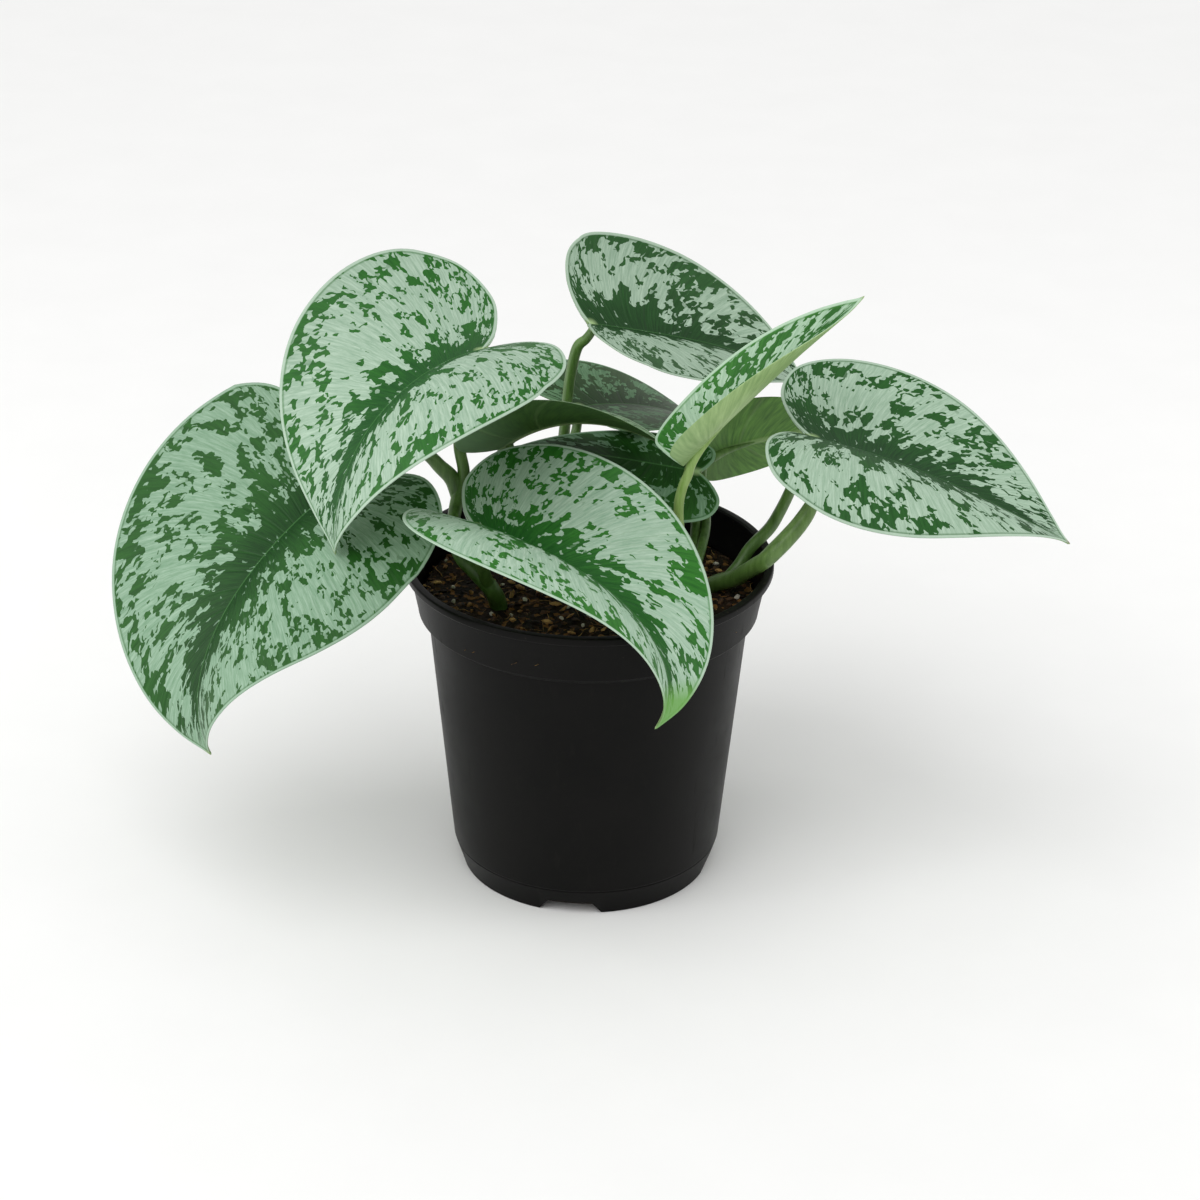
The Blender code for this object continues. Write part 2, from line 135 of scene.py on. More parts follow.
def new_finish(name, **values):
    """A material with its tree and its Principled shader, whose sockets take the values."""
    made = bpy.data.materials.new(name)
    made.use_nodes = True
    tree = made.node_tree
    shader = tree.nodes["Principled BSDF"]
    for label, value in values.items():
        shader.inputs[label.replace("_", " ").title().replace("Ior", "IOR")].default_value = value
    return made, tree, shader


def add_object(name, data):
    made = bpy.data.objects.new(name, data)
    bpy.context.scene.collection.objects.link(made)
    return made


def mesh_from(shape, name):
    """The bmesh as a mesh. The bmesh is freed."""
    mesh = bpy.data.meshes.new(name)
    shape.to_mesh(mesh)
    shape.free()
    return mesh


def evaluated_mesh(made):
    """The object's mesh with its modifiers applied, as plain data. The object is removed."""
    bpy.context.view_layer.update()
    mesh = bpy.data.meshes.new_from_object(made.evaluated_get(bpy.context.evaluated_depsgraph_get()))
    bpy.data.objects.remove(made)
    return mesh


def finish_piece(name, mesh, finishes, nodes=()):
    """The finished piece: it rides on the body, has its finish and stands for its nodes."""
    mesh.name = name
    if mesh.materials:
        mesh.materials.clear()
    for finish in finishes:
        mesh.materials.append(finish)
    piece = add_object(name, mesh)
    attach(piece, "root")
    if nodes:
        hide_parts(*nodes)
    return piece


def body_radius(height):
    """The outer wall's radius between the groove and the collar."""
    share = (height - GROOVE_HEIGHT) / (COLLAR_BOTTOM - GROOVE_HEIGHT)
    return GROOVE_RADIUS + (BODY_TOP_RADIUS - GROOVE_RADIUS) * share


def arc(centre, radius, start, end, count):
    turns = [radians(start + (end - start) * number / (count - 1)) for number in range(count)]
    return [(centre[0] + radius * cos(turn), centre[1] + radius * sin(turn)) for turn in turns]


def pot_profile():
    """From the floor's inside centre, up the inner wall, over the rolled lip and down the outside."""
    inner_edge = LIP_RADIUS - LIP_WIDTH
    step = COLLAR_BOTTOM - WALL
    inside = [
        (0, FLOOR),
        (FOOT_RADIUS - WALL - 0.6, FLOOR),
        (FOOT_RADIUS - WALL + 0.3, FLOOR + 0.9),
        (GROOVE_RADIUS - WALL, GROOVE_HEIGHT),
        (body_radius(step - 2) - WALL, step - 2),
        (COLLAR_RADIUS - WALL - 0.3, step + 0.6),
        (COLLAR_RADIUS - WALL, step + 1.5),
        (inner_edge - 0.3, LIP_TOP - 1.2),
    ]
    lip = arc((inner_edge + 0.25, LIP_TOP - LIP_ROUND), LIP_ROUND, 170, 90, 5)
    lip += arc((LIP_RADIUS - LIP_ROUND, LIP_TOP - LIP_ROUND), LIP_ROUND, 90, 0, 6)
    lip += arc((LIP_RADIUS - LIP_ROUND, LIP_TOP - LIP_HEIGHT + LIP_ROUND), LIP_ROUND, 0, -90, 6)
    collar = [
        (COLLAR_TOP_RADIUS + 0.25, LIP_TOP - LIP_HEIGHT - 0.02),
        (COLLAR_TOP_RADIUS, LIP_TOP - LIP_HEIGHT - 0.25),
        (COLLAR_RADIUS + 0.25, COLLAR_BOTTOM + 1.2),
        *arc((COLLAR_RADIUS - 0.4, COLLAR_BOTTOM + 0.6), 0.6, 0, -90, 5),
        (BODY_TOP_RADIUS + 0.25, COLLAR_BOTTOM - 0.02),
        (BODY_TOP_RADIUS, COLLAR_BOTTOM - 0.25),
    ]
    groove = [
        (body_radius(GROOVE_HEIGHT + 0.6), GROOVE_HEIGHT + 0.6),
        (body_radius(GROOVE_HEIGHT + 0.3) - 0.05, GROOVE_HEIGHT + 0.3),
        (GROOVE_RADIUS - GROOVE_DEPTH, GROOVE_HEIGHT),
        (GROOVE_RADIUS - 0.2, GROOVE_HEIGHT - 0.35),
    ]
    return inside + lip + collar + groove + arc((FOOT_RADIUS - 0.4, 0.5), 0.5, 10, -90, 5) + [(0, 0)]


def turned(name, profile, steps):
    """A solid of revolution from a profile of (radius, height)."""
    shape = bmesh.new()
    points = [shape.verts.new((radius * MM, 0, height * MM)) for radius, height in profile]
    for first, second in zip(points, points[1:]):
        shape.edges.new((first, second))
    made = add_object(name, mesh_from(shape, name))
    screw = made.modifiers.new("turn", "SCREW")
    screw.steps = screw.render_steps = steps
    screw.use_merge_vertices = True
    screw.merge_threshold = 0.00001
    return made


def drain_notch(turn):
    """A block with slanted sides, which opens the foot and the floor's edge."""
    shape = bmesh.new()
    bmesh.ops.create_cube(shape, size=1)
    for point in shape.verts:
        top = point.co.z > 0
        width = NOTCH_TOP_WIDTH if top else NOTCH_WIDTH + (NOTCH_WIDTH - NOTCH_TOP_WIDTH) / NOTCH_HEIGHT
        reach = NOTCH_OUTER if point.co.x > 0 else NOTCH_INNER
        place = Vector((reach, point.co.y * width, NOTCH_HEIGHT if top else -1)) * MM
        point.co = Matrix.Rotation(turn, 3, "Z") @ place
    return add_object("drain_notch", mesh_from(shape, "drain_notch"))


def moulded_polypropylene():
    """Black injection-moulded polypropylene. The mould's fine grain gives a dull sheen, and handling
    leaves faint scuffs and a little dried compost dust near the rim."""
    finish, tree, shader = new_finish("moulded_polypropylene", ior=1.49, specular_IOR_level=0.1)
    place = add_node(tree, "ShaderNodeTexCoord").outputs["Object"]
    height = add_node(tree, "ShaderNodeSeparateXYZ", {0: place}).outputs["Z"]
    mottle = add_node(tree, "ShaderNodeTexNoise", {
        "Vector": place, "Scale": 45.0, "Detail": 4.0, "Roughness": 0.6})
    scuffs = drawn_out(tree, "ShaderNodeTexNoise", place, (400, 400, 60), Detail=3.0, Roughness=0.7)
    scuffs = add_node(tree, "ShaderNodeMapRange", {"Value": scuffs, "From Min": 0.6, "From Max": 0.78})
    dust = add_node(tree, "ShaderNodeTexNoise", {"Vector": place, "Scale": 900.0, "Roughness": 0.6})
    dust = add_node(tree, "ShaderNodeMapRange", {
        "Value": dust, "From Min": 0.7, "From Max": 0.78, "To Max": 0.3})
    near_rim = add_node(tree, "ShaderNodeMapRange", {"Value": height, "From Min": 0.08, "From Max": 0.096})
    dust = add_node(tree, "ShaderNodeMath", {0: dust, 1: near_rim}, operation="MULTIPLY")
    tint = tint_over(tree, "#070706", [(mottle, 0.35, 0.7, 0.0, 1.0, "#0D0C0B")])
    worn = add_node(tree, "ShaderNodeMath", {0: scuffs, 1: 0.35}, operation="MULTIPLY")
    for share, colour in ((worn, "#1F1D1B"), (dust, "#6B6152")):
        tint = add_node(tree, "ShaderNodeMix", {0: share, 6: tint, 7: colour}, data_type="RGBA")
    dull = add_node(tree, "ShaderNodeMapRange", {
        "Value": mottle, "From Min": 0.3, "From Max": 0.7, "To Min": 0.36, "To Max": 0.48})
    dull = add_node(tree, "ShaderNodeMath", {0: scuffs, 1: 0.2, 2: dull}, operation="MULTIPLY_ADD")
    grain = add_node(tree, "ShaderNodeTexNoise", {"Vector": place, "Scale": 3200.0})
    relief = add_node(tree, "ShaderNodeBump", {"Height": grain, "Strength": 0.12, "Distance": 0.00015})
    fill_inputs(tree, shader, {"Base Color": tint, "Roughness": dull, "Normal": relief})
    return finish


pot = turned("nursery_pot", pot_profile(), POT_STEPS)
blocks = [drain_notch(radians(NOTCH_TURN + 360 * number / NOTCHES)) for number in range(NOTCHES)]
for block in blocks:
    cut = pot.modifiers.new(block.name, "BOOLEAN")
    cut.operation = "DIFFERENCE"
    cut.object = block
pot_mesh = evaluated_mesh(pot)
for block in blocks:
    bpy.data.objects.remove(block)
pot_mesh.shade_smooth()
pot_mesh.set_sharp_from_angle(angle=radians(SHARP_ANGLE))
finish_piece("nursery_pot", pot_mesh, [moulded_polypropylene()], ["pot"])

# Potting mix: bark, peat and perlite, filled to about 10 mm under the lip and settled by watering.
# The plug carries the crumbly top, and bark, coir fibre and perlite lie scattered on it.
GAP = 0.3
SOIL_LEVEL = 85.0
SOIL_HEAP = 1.1
SOIL_HEAP_SCALE = 9.0
CRUMB = 0.55
CRUMB_SCALE = 1.9
SOIL_EDGE = COLLAR_RADIUS - WALL - GAP - 0.2
SOIL_EDGE_FADE = 3.0
SOIL_RINGS = 60
SOIL_STEPS = 180
TOP_FACING = 0.3
TOP_DEPTH = 3.0
FIBRE_SPANS = 6
FIBRE_THICKNESS = 0.02


def soil_profile():
    """From the middle of the top to its edge, and down the pot's inner wall to the middle of the floor."""
    step = COLLAR_BOTTOM - WALL
    top = [(SOIL_EDGE * ring / SOIL_RINGS, SOIL_LEVEL) for ring in range(SOIL_RINGS + 1)]
    return top + [
        (SOIL_EDGE, step + 2.2),
        (body_radius(step - 2) - WALL - GAP - 0.2, step - 2.2),
        (GROOVE_RADIUS - WALL - GAP, GROOVE_HEIGHT),
        (FOOT_RADIUS - WALL - GAP, FLOOR + 1.4),
        (FOOT_RADIUS - WALL - 1.2, FLOOR + GAP),
        (0, FLOOR + GAP),
    ]


def soil_height(x, y):
    """How far the settled top stands over its level: low heaps, and the crumbs on them."""
    heap = noise.fractal(Vector((x, y, 0)) / SOIL_HEAP_SCALE, 1.0, 2.0, 3, noise_basis="PERLIN_ORIGINAL")
    crumb = noise.fractal(Vector((x, y, 9)) / CRUMB_SCALE, 0.8, 2.1, 3, noise_basis="PERLIN_ORIGINAL")
    return SOIL_HEAP * heap + CRUMB * crumb


def settled_mix():
    """Moist peat and composted bark: nearly black brown and dull, with paler dry crumbs."""
    finish, tree, shader = new_finish("settled_potting_mix", roughness=0.9, specular_IOR_level=0.25)
    place = add_node(tree, "ShaderNodeTexCoord").outputs["Object"]
    crumbs = add_node(tree, "ShaderNodeTexVoronoi", {"Vector": place, "Scale": 700.0})
    tone = add_node(tree, "ShaderNodeTexNoise", {
        "Vector": place, "Scale": 160.0, "Detail": 5.0, "Roughness": 0.65})
    pick = add_node(tree, "ShaderNodeSeparateColor", {0: crumbs.outputs["Color"]})
    tint = tint_over(tree, "#0B0703", [(tone, 0.35, 0.68, 0.0, 1.0, "#2A1C0B"),
                                       (pick, 0.86, 0.9, 0.0, 0.75, "#805A2C")])
    relief = add_node(tree, "ShaderNodeBump", {"Height": crumbs, "Strength": 0.7, "Distance": 0.0008})
    fill_inputs(tree, shader, {"Base Color": tint, "Normal": relief})
    return finish


def scatter_on_top(name):
    """Copies of a crumb scattered over the top of the mix, each turned and sized at random."""
    tree, given = new_group(name, {
        "Mix": "Geometry", "Crumb": "Object", "Per Square Metre": "Float", "Spacing": "Float",
        "Smallest": "Vector", "Largest": "Vector", "Tumble": "Float", "Lift": "Float",
        "Seed": "Int", "Finish": "Material",
    })
    normal = add_node(tree, "ShaderNodeSeparateXYZ", {0: add_node(tree, "GeometryNodeInputNormal")})
    place = add_node(tree, "ShaderNodeSeparateXYZ", {0: add_node(tree, "GeometryNodeInputPosition")})
    upward = add_node(tree, "FunctionNodeCompare", {
        0: normal.outputs["Z"], 1: TOP_FACING}, operation="GREATER_THAN")
    high = add_node(tree, "FunctionNodeCompare", {
        0: place.outputs["Z"], 1: (SOIL_LEVEL - TOP_DEPTH) * MM}, operation="GREATER_THAN")
    on_top = add_node(tree, "FunctionNodeBooleanMath", {0: upward, 1: high}, operation="AND")
    points = add_node(tree, "GeometryNodeDistributePointsOnFaces", {
        "Mesh": given["Mix"], "Selection": on_top, "Distance Min": given["Spacing"],
        "Density Max": given["Per Square Metre"], "Seed": given["Seed"],
    }, distribute_method="POISSON")
    lift = add_node(tree, "ShaderNodeCombineXYZ", {2: given["Lift"]})
    points = add_node(tree, "GeometryNodeSetPosition", {"Geometry": points, "Offset": lift})
    turn = add_node(tree, "FunctionNodeRandomValue", {
        0: (-1, -1, -pi), 1: (1, 1, pi), "Seed": given["Seed"]}, data_type="FLOAT_VECTOR")
    lean = add_node(tree, "ShaderNodeCombineXYZ", {0: given["Tumble"], 1: given["Tumble"], 2: 1.0})
    turn = add_node(tree, "ShaderNodeVectorMath", {0: turn, 1: lean}, operation="MULTIPLY")
    turn = add_node(tree, "FunctionNodeEulerToRotation", {0: turn})
    other_seed = add_node(tree, "ShaderNodeMath", {0: given["Seed"], 1: 1.0}, operation="ADD")
    size = add_node(tree, "FunctionNodeRandomValue", {
        0: given["Smallest"], 1: given["Largest"], "Seed": other_seed}, data_type="FLOAT_VECTOR")
    crumb = add_node(tree, "GeometryNodeObjectInfo", {"Object": given["Crumb"]}).outputs["Geometry"]
    copies = add_node(tree, "GeometryNodeInstanceOnPoints", {
        "Points": points, "Instance": crumb, "Rotation": turn, "Scale": size})
    return close_group(tree, copies, given["Finish"])


def rough_lump(name, roughness, seed):
    """An irregular lump of unit size."""
    shape = bmesh.new()
    bmesh.ops.create_icosphere(shape, subdivisions=1, radius=0.5)
    for point in shape.verts:
        point.co *= 1 + roughness * noise.noise(point.co * 3 + Vector((seed, 0, 0)))
    return add_object(name, mesh_from(shape, name))


def curled_fibre(name):
    """A thin bent thread of unit length."""
    curve = bpy.data.curves.new(name, "CURVE")
    curve.dimensions = "3D"
    curve.bevel_depth = FIBRE_THICKNESS
    curve.bevel_resolution = 0
    curve.use_fill_caps = True
    spline = curve.splines.new("POLY")
    spline.points.add(FIBRE_SPANS)
    for number, point in enumerate(spline.points):
        part = number / FIBRE_SPANS - 0.5
        point.co = (part, 0.16 * sin(4 * part), 0.1 * cos(5 * part), 1)
        point.radius = 1.1 - abs(part)
    return add_object(name, evaluated_mesh(add_object(name + "_line", curve)))


def weathered(name, low, high, patch, roughness):
    """A dull organic or mineral crumb that goes from a low to a high tone over patches of a size in mm."""
    finish, tree, shader = new_finish(name, roughness=roughness)
    place = add_node(tree, "ShaderNodeTexCoord").outputs["Object"]
    tone = add_node(tree, "ShaderNodeTexNoise", {"Vector": place, "Scale": 1000 / patch, "Detail": 3.0})
    tint = tint_over(tree, low, [(tone, 0.35, 0.65, 0.0, 1.0, high)])
    grit = add_node(tree, "ShaderNodeTexNoise", {"Vector": place, "Scale": 6000 / patch, "Detail": 3.0})
    relief = add_node(tree, "ShaderNodeBump", {"Height": grit, "Strength": 0.5, "Distance": 0.0004})
    fill_inputs(tree, shader, {"Base Color": tint, "Normal": relief})
    return finish


soil_mesh = evaluated_mesh(turned("potting_mix", soil_profile(), SOIL_STEPS))
for point in soil_mesh.vertices:
    x, y, z = point.co / MM
    inside = min(1.0, max(0.0, (SOIL_EDGE + 0.4 - (x * x + y * y) ** 0.5) / SOIL_EDGE_FADE))
    if z > SOIL_LEVEL - 0.01:
        point.co.z += soil_height(x, y) * inside * MM
soil_mesh.shade_smooth()
finish_piece("potting_mix", soil_mesh, [settled_mix()], ["soil"])

LOOSE_MIX = {
    "bark_chips": dict(
        Crumb=rough_lump("bark_crumb", 0.9, 3), Per_Square_Metre=90000.0, Spacing=2.2,
        Smallest=(1.2, 1.0, 0.5), Largest=(5.0, 3.0, 1.6), Tumble=0.5, Lift=0.0, Seed=11,
        Finish=weathered("composted_bark", "#120B05", "#5E3D1B", 3.3, 0.85)),
    "dry_chips": dict(
        Crumb=rough_lump("chip_crumb", 0.9, 8), Per_Square_Metre=30000.0, Spacing=3.2,
        Smallest=(1.0, 0.8, 0.4), Largest=(4.2, 2.2, 1.2), Tumble=0.7, Lift=0.5, Seed=23,
        Finish=weathered("dry_bark", "#6A451D", "#CFA566", 2.9, 0.8)),
    "perlite_grains": dict(
        Crumb=rough_lump("perlite_crumb", 0.6, 5), Per_Square_Metre=13000.0, Spacing=4.5,
        Smallest=(0.9, 0.9, 0.8), Largest=(2.4, 2.2, 1.8), Tumble=1.0, Lift=0.5, Seed=37,
        Finish=weathered("expanded_perlite", "#B9B29F", "#EDE9DC", 1.1, 0.9)),
    "coir_fibres": dict(
        Crumb=curled_fibre("fibre_crumb"), Per_Square_Metre=26000.0, Spacing=2.0,
        Smallest=(3.0, 3.0, 2.0), Largest=(9.0, 8.0, 5.0), Tumble=0.5, Lift=0.4, Seed=41,
        Finish=weathered("coir_fibre", "#44301A", "#B58C4E", 2.0, 0.8)),
}


def set_inputs(modifier, values, in_millimetres=()):
    """Sets a Geometry Nodes modifier's inputs, by the names of their sockets."""
    for item in modifier.node_group.interface.items_tree:
        value = values.get(item.name.replace(" ", "_"))
        if value is None or item.in_out == "OUTPUT":
            continue
        if item.name in in_millimetres:
            value = [side * MM for side in value] if isinstance(value, tuple) else value * MM
        modifier[item.identifier] = value


scatter = scatter_on_top("scatter_on_top")
for name, values in LOOSE_MIX.items():
    carrier = add_object(name, soil_mesh.copy())
    modifier = carrier.modifiers.new("scatter", "NODES")
    modifier.node_group = scatter
    set_inputs(modifier, values, ("Spacing", "Smallest", "Largest", "Lift"))
    finish_piece(name, evaluated_mesh(carrier), [values["Finish"]])
    bpy.data.objects.remove(values["Crumb"])

# Leaf blades: living satin pothos leaves. Each grows as one heart-shaped sheet of soft tissue, creased along
# the midrib and slightly puffed between the side veins. Silver air-filled tissue lies over the green, and
# leaves dark patches where it is missing.
MIDRIB_HALF = 0.3
MARGIN_HALF = 0.16
RIM_ROUND = 0.35
ROWS = 96
COLUMNS = 26
COLUMN_CROWDING = 0.85
VEIN_POWER = 2.2
VEIN_BULGE = 0.16
SPINE_STEP = 1.0
LOBE_REACH = 24.0
RIDGE = 0.5
RIDGE_WIDTH = 0.8
LEFT, RIGHT = 0, 1
MIDRIB_FADE = 6.0
WELD = 0.002
LEAF_SEED_STEP = 17.0
RIB_SEED = 5
MARGIN_SWAY = (2.4, 4.0, 0.0)
RIB_SWAY = (2.2, 4.0, 0.0)
AREOLES_PER_MM = (1.15, 0.75)  # across the side veins and along them, and so the next two
SLIVERS_PER_MM = (0.6, 0.2)
STREAKS_PER_MM = (1.5, 0.11)
PATCH_STRETCH = 0.6
BAND_TAPER_POWER = 2.8
VEINLET_STEP = 2.0
SIDE_VEIN_STEP = 8.0
JOINT_ALONG = 1.0

# Half of the outline, from the notch where the petiole joins, round the lobe, to the tip.
# Each pair is (part of the half width, part of the length).
HEART = [
    (0.0, 0.0),
    (0.20, -0.085),
    (0.50, -0.150),
    (0.80, -0.105),
    (0.97, 0.05),
    (1.0, 0.24),
    (0.91, 0.44),
    (0.72, 0.62),
    (0.46, 0.785),
    (0.21, 0.905),
    (0.065, 0.965),
    (0.0, 1.0),
]


@dataclass
class Leaf:
    """One blade. Left and right are as seen from above, looking from the petiole towards the tip."""

    name: str
    base: tuple  # where the midrib starts
    heading: float  # of the midrib's start, counted from +X towards +Y
    rise: float
    roll: float
    length: float
    widths: tuple  # half widths, left and right
    lobes: tuple  # how far each basal lobe reaches back, where 1 is as in HEART
    droop: tuple  # bend down: spread over the length, and gathered at the tip
    sweep: tuple  # bend to the right, in the same way
    twist: float
    folds: tuple  # how each half rises from the midrib
    curls: tuple  # how each half turns further up on its way to the margin
    back_droop: float = -3.0  # bend down of the lobes behind the petiole
    fullness: float = 1.0  # over 1 where the blade is broad near its base


@dataclass
class Satin:
    """The markings of one blade, with sizes in millimetres. Blades that stand in shade get darker tones,
    which are painted shade.
    """

    silver: tuple  # low and high tone of the silver tissue
    green: tuple  # low and high tone of the bare green tissue
    patch: float  # length of the green patches
    cover: tuple  # part that is green: at the left margin, at the right margin and inside
    margin_zone: float
    band: float  # half width of the green band along the midrib, near the petiole
    spike: float  # how far the band feathers out along the side veins
    underside: tuple = ("#54793F", "#7C9C5F")
    lobe_underside: str = "#86A672"
    tip: tuple = (0.975, 1.0, "#8A9A4A")  # parts of the length where the tip turns to its own colour


LEAVES = [
    Leaf("leaf_top_left", base=(-29, -11.5, 163.2), heading=-153, rise=-2, roll=12, length=77,
         widths=(42, 47), lobes=(1.05, 1.2), droop=(90, 2), sweep=(8, 3), twist=-6, folds=(17, 9),
         curls=(-53, 50), back_droop=-4, fullness=1.15),
    Leaf("leaf_big_left", base=(-71.8, -6, 118), heading=-150, rise=-29, roll=1, length=87,
         widths=(49.5, 51), lobes=(1.5, 0.9), droop=(36, 45), sweep=(-12, -4), twist=18, folds=(12, 20),
         curls=(-52, 16), back_droop=-4, fullness=0.84),
    Leaf("leaf_front", base=(-32, -30.5, 119.3), heading=-25, rise=-4, roll=-23, length=87, widths=(41, 37),
         lobes=(0.95, 0.8), droop=(36, 80), sweep=(-10, 6), twist=3, folds=(22, 17), curls=(36, -47)),
    Leaf("leaf_back_top", base=(-0.8, 34, 153), heading=30, rise=-17, roll=6, length=85, widths=(29.5, 37),
         lobes=(0.35, 0.65), droop=(4, 35), sweep=(7, 3), twist=7, folds=(27, 17), curls=(40, -26),
         back_droop=-4, fullness=1.15),
    Leaf("leaf_young_curled", base=(25.2, -11.5, 129.6), heading=20, rise=42, roll=-8, length=69,
         widths=(13.8, 13), lobes=(0.1, 0), droop=(8, 0), sweep=(-3, -2), twist=22, folds=(38, 26),
         curls=(-4, 56), fullness=0.85),
    Leaf("leaf_right", base=(61, 0, 133.4), heading=-6, rise=-11, roll=-13, length=79, widths=(39, 40),
         lobes=(0.85, 1.0), droop=(20, -5), sweep=(8, -9), twist=9, folds=(17, 17), curls=(24, -75)),
    Leaf("leaf_centre_folded", base=(-25, 7, 126), heading=5, rise=38, roll=-22, length=49.5,
         widths=(22, 26), lobes=(1.0, 1.0), droop=(74, -10), sweep=(5, -1), twist=12, folds=(-6, 26),
         curls=(10, 0), fullness=1.05),
    Leaf("leaf_back_shaded", base=(-4, 46, 122), heading=35, rise=-5, roll=2, length=62, widths=(24, 28),
         lobes=(1.0, 0.3), droop=(36, 10), sweep=(-5, 0), twist=-5, folds=(14, 8), curls=(0, -5)),
    Leaf("leaf_low_inner", base=(31.3, 15, 115.5), heading=172, rise=7.5, roll=-13, length=55,
         widths=(22, 15), lobes=(0.9, 0.4), droop=(8, 10), sweep=(5, 2), twist=0, folds=(0, 0),
         curls=(-15, 0)),
    Leaf("leaf_right_inner", base=(33, 31, 114), heading=15, rise=13, roll=-75, length=44,
         widths=(12.5, 15), lobes=(0.1, 0.1), droop=(9, -2), sweep=(-6, 0), twist=0, folds=(5, 5),
         curls=(0, 4), fullness=0.85),
]

# The blades' markings. For the blades that stand deep in shade, the tones are also darkened as painted shade.
MARKINGS_AND_PAINTED_SHADE = {
    "leaf_top_left": Satin(
        silver=("#85A38A", "#B1C7B3"), green=("#124717", "#2A6823"), patch=2.0, cover=(0.43, 0.43, 0.15),
        margin_zone=16, band=5.8, spike=13),
    "leaf_big_left": Satin(
        silver=("#6C9072", "#97B39B"), green=("#0C370D", "#24591C"), patch=2.7, cover=(0.44, 0.48, 0.26),
        margin_zone=24, band=8.2, spike=17),
    "leaf_front": Satin(
        silver=("#8AAD91", "#BAD1BD"), green=("#18501A", "#347829"), patch=2.1, cover=(0.42, 0.4, 0.17),
        margin_zone=13, band=6.2, spike=13, tip=(0.84, 0.9, "#6BA64A")),
    "leaf_back_top": Satin(
        silver=("#839F87", "#AFC5B0"), green=("#133814", "#275725"), patch=2.4, cover=(0.47, 0.47, 0.25),
        margin_zone=12, band=4.6, spike=10),
    "leaf_young_curled": Satin(
        silver=("#8EB091", "#BAD5BB"), green=("#1E5C18", "#397E2A"), patch=2.4, cover=(0.55, 0.55, 0.45),
        margin_zone=8, band=2.0, spike=6, underside=("#7FA060", "#A6C284")),
    "leaf_right": Satin(
        silver=("#8AA88E", "#B2C9B4"), green=("#0F3813", "#265A23"), patch=2.7, cover=(0.5, 0.5, 0.2),
        margin_zone=15, band=6.8, spike=15, tip=(0.975, 1.0, "#7A5230")),
    # Its underside tones are darkened with painted shade, as that side of the blade faces into shade.
    "leaf_centre_folded": Satin(
        silver=("#7F9F7A", "#9DB997"), green=("#23491F", "#375F2E"), patch=2.6, cover=(0.4, 0.4, 0.3),
        margin_zone=9, band=2.5, spike=6, underside=("#27471A", "#43652B"), lobe_underside="#7C9C78"),
    # Its silver and green tones are darkened with painted shade, as this blade stands in shade at the back.
    "leaf_back_shaded": Satin(
        silver=("#48704B", "#769C78"), green=("#18380F", "#2F5321"), patch=3.0, cover=(0.55, 0.55, 0.5),
        margin_zone=9, band=3.0, spike=7),
    # Its silver and green tones are darkened with painted shade, as this blade lies low in shade behind the
    # front blade.
    "leaf_low_inner": Satin(
        silver=("#5C8264", "#88AB8C"), green=("#163F12", "#2C6222"), patch=2.8, cover=(0.6, 0.55, 0.5),
        margin_zone=9, band=4.0, spike=9),
    # Painted shade darkens its silver and green, as it stands in shade, and its saturated olive underside is
    # painted light shining through the thin blade.
    "leaf_right_inner": Satin(
        silver=("#7A9873", "#94B08C"), green=("#284B1F", "#3B612D"), patch=2.6, cover=(0.4, 0.4, 0.35),
        margin_zone=8, band=2.5, spike=5, underside=("#3A641D", "#64983B")),
}


def smooth_between(points, place):
    """The point at place, from 0 to 1, on a smooth curve through the points."""
    spans = len(points) - 1
    span = min(int(place * spans), spans - 1)
    part = place * spans - span
    before = points[span - 1] if span else 2 * points[0] - points[1]
    after = points[span + 2] if span + 2 <= spans else 2 * points[-1] - points[-2]
    start, end = points[span], points[span + 1]
    return (
        start * 2
        + (end - before) * part
        + (before * 2 - start * 5 + end * 4 - after) * part**2
        + (start * 3 - before - end * 3 + after) * part**3
    ) / 2


def heart_margin(leaf, side, place):
    """The flat outline's (out, along) at place, from the petiole at 0 to the tip at 1."""
    points = [Vector((x, y * leaf.lobes[side] if y < 0 else y)) for x, y in HEART]
    out, along = smooth_between(points, place)
    if along > 0:
        along **= leaf.fullness
    return out * leaf.widths[side], along * leaf.length


def heart_point(leaf, side, place, across):
    """A flat point on the side vein of place, where across is 0 on the midrib and 1 at the margin."""
    out, along = heart_margin(leaf, side, place)
    start = leaf.length * place**VEIN_POWER
    middle_out = out / 2
    middle_along = (start + along) / 2 - VEIN_BULGE * out
    near, far = (1 - across) ** 2, across**2
    between = 2 * across * (1 - across)
    return between * middle_out + far * out, near * start + between * middle_along + far * along


def start_frame(leaf):
    """The midrib's first direction and the blade's upward normal."""
    heading, rise, roll = radians(leaf.heading), radians(leaf.rise), radians(leaf.roll)
    along = Vector((cos(heading) * cos(rise), sin(heading) * cos(rise), sin(rise)))
    up = Vector((-cos(heading) * sin(rise), -sin(heading) * sin(rise), cos(rise)))
    up.rotate(Quaternion(along, roll))
    return along, up


def midrib(leaf):
    """Frames (place, along, up) at each SPINE_STEP from the ends of the lobes to the tip."""
    halves = []
    for end in (-LOBE_REACH, leaf.length):
        steps = round(abs(end) / SPINE_STEP)
        step = end / steps
        place = Vector(leaf.base)
        along, up = start_frame(leaf)
        frames = [(place, along, up)]
        for number in range(steps):
            part = (number + 0.5) * step / leaf.length
            if part > 0:
                tip_share = 4 * part**3
                down = leaf.droop[0] + leaf.droop[1] * tip_share
                right = leaf.sweep[0] + leaf.sweep[1] * tip_share
                turn = leaf.twist
            else:
                down, right, turn = leaf.back_droop, 0, 0
            spin = (along * turn - up * right - along.cross(up) * down) * radians(step / leaf.length)
            bend = Quaternion(spin.normalized(), spin.length) if spin.length else Quaternion()
            turned_along = bend @ along
            place = place + (along + turned_along) * (step / 2)
            along, up = turned_along, bend @ up
            frames.append((place, along, up))
        halves.append(frames)
    return halves[0][:0:-1] + halves[1]


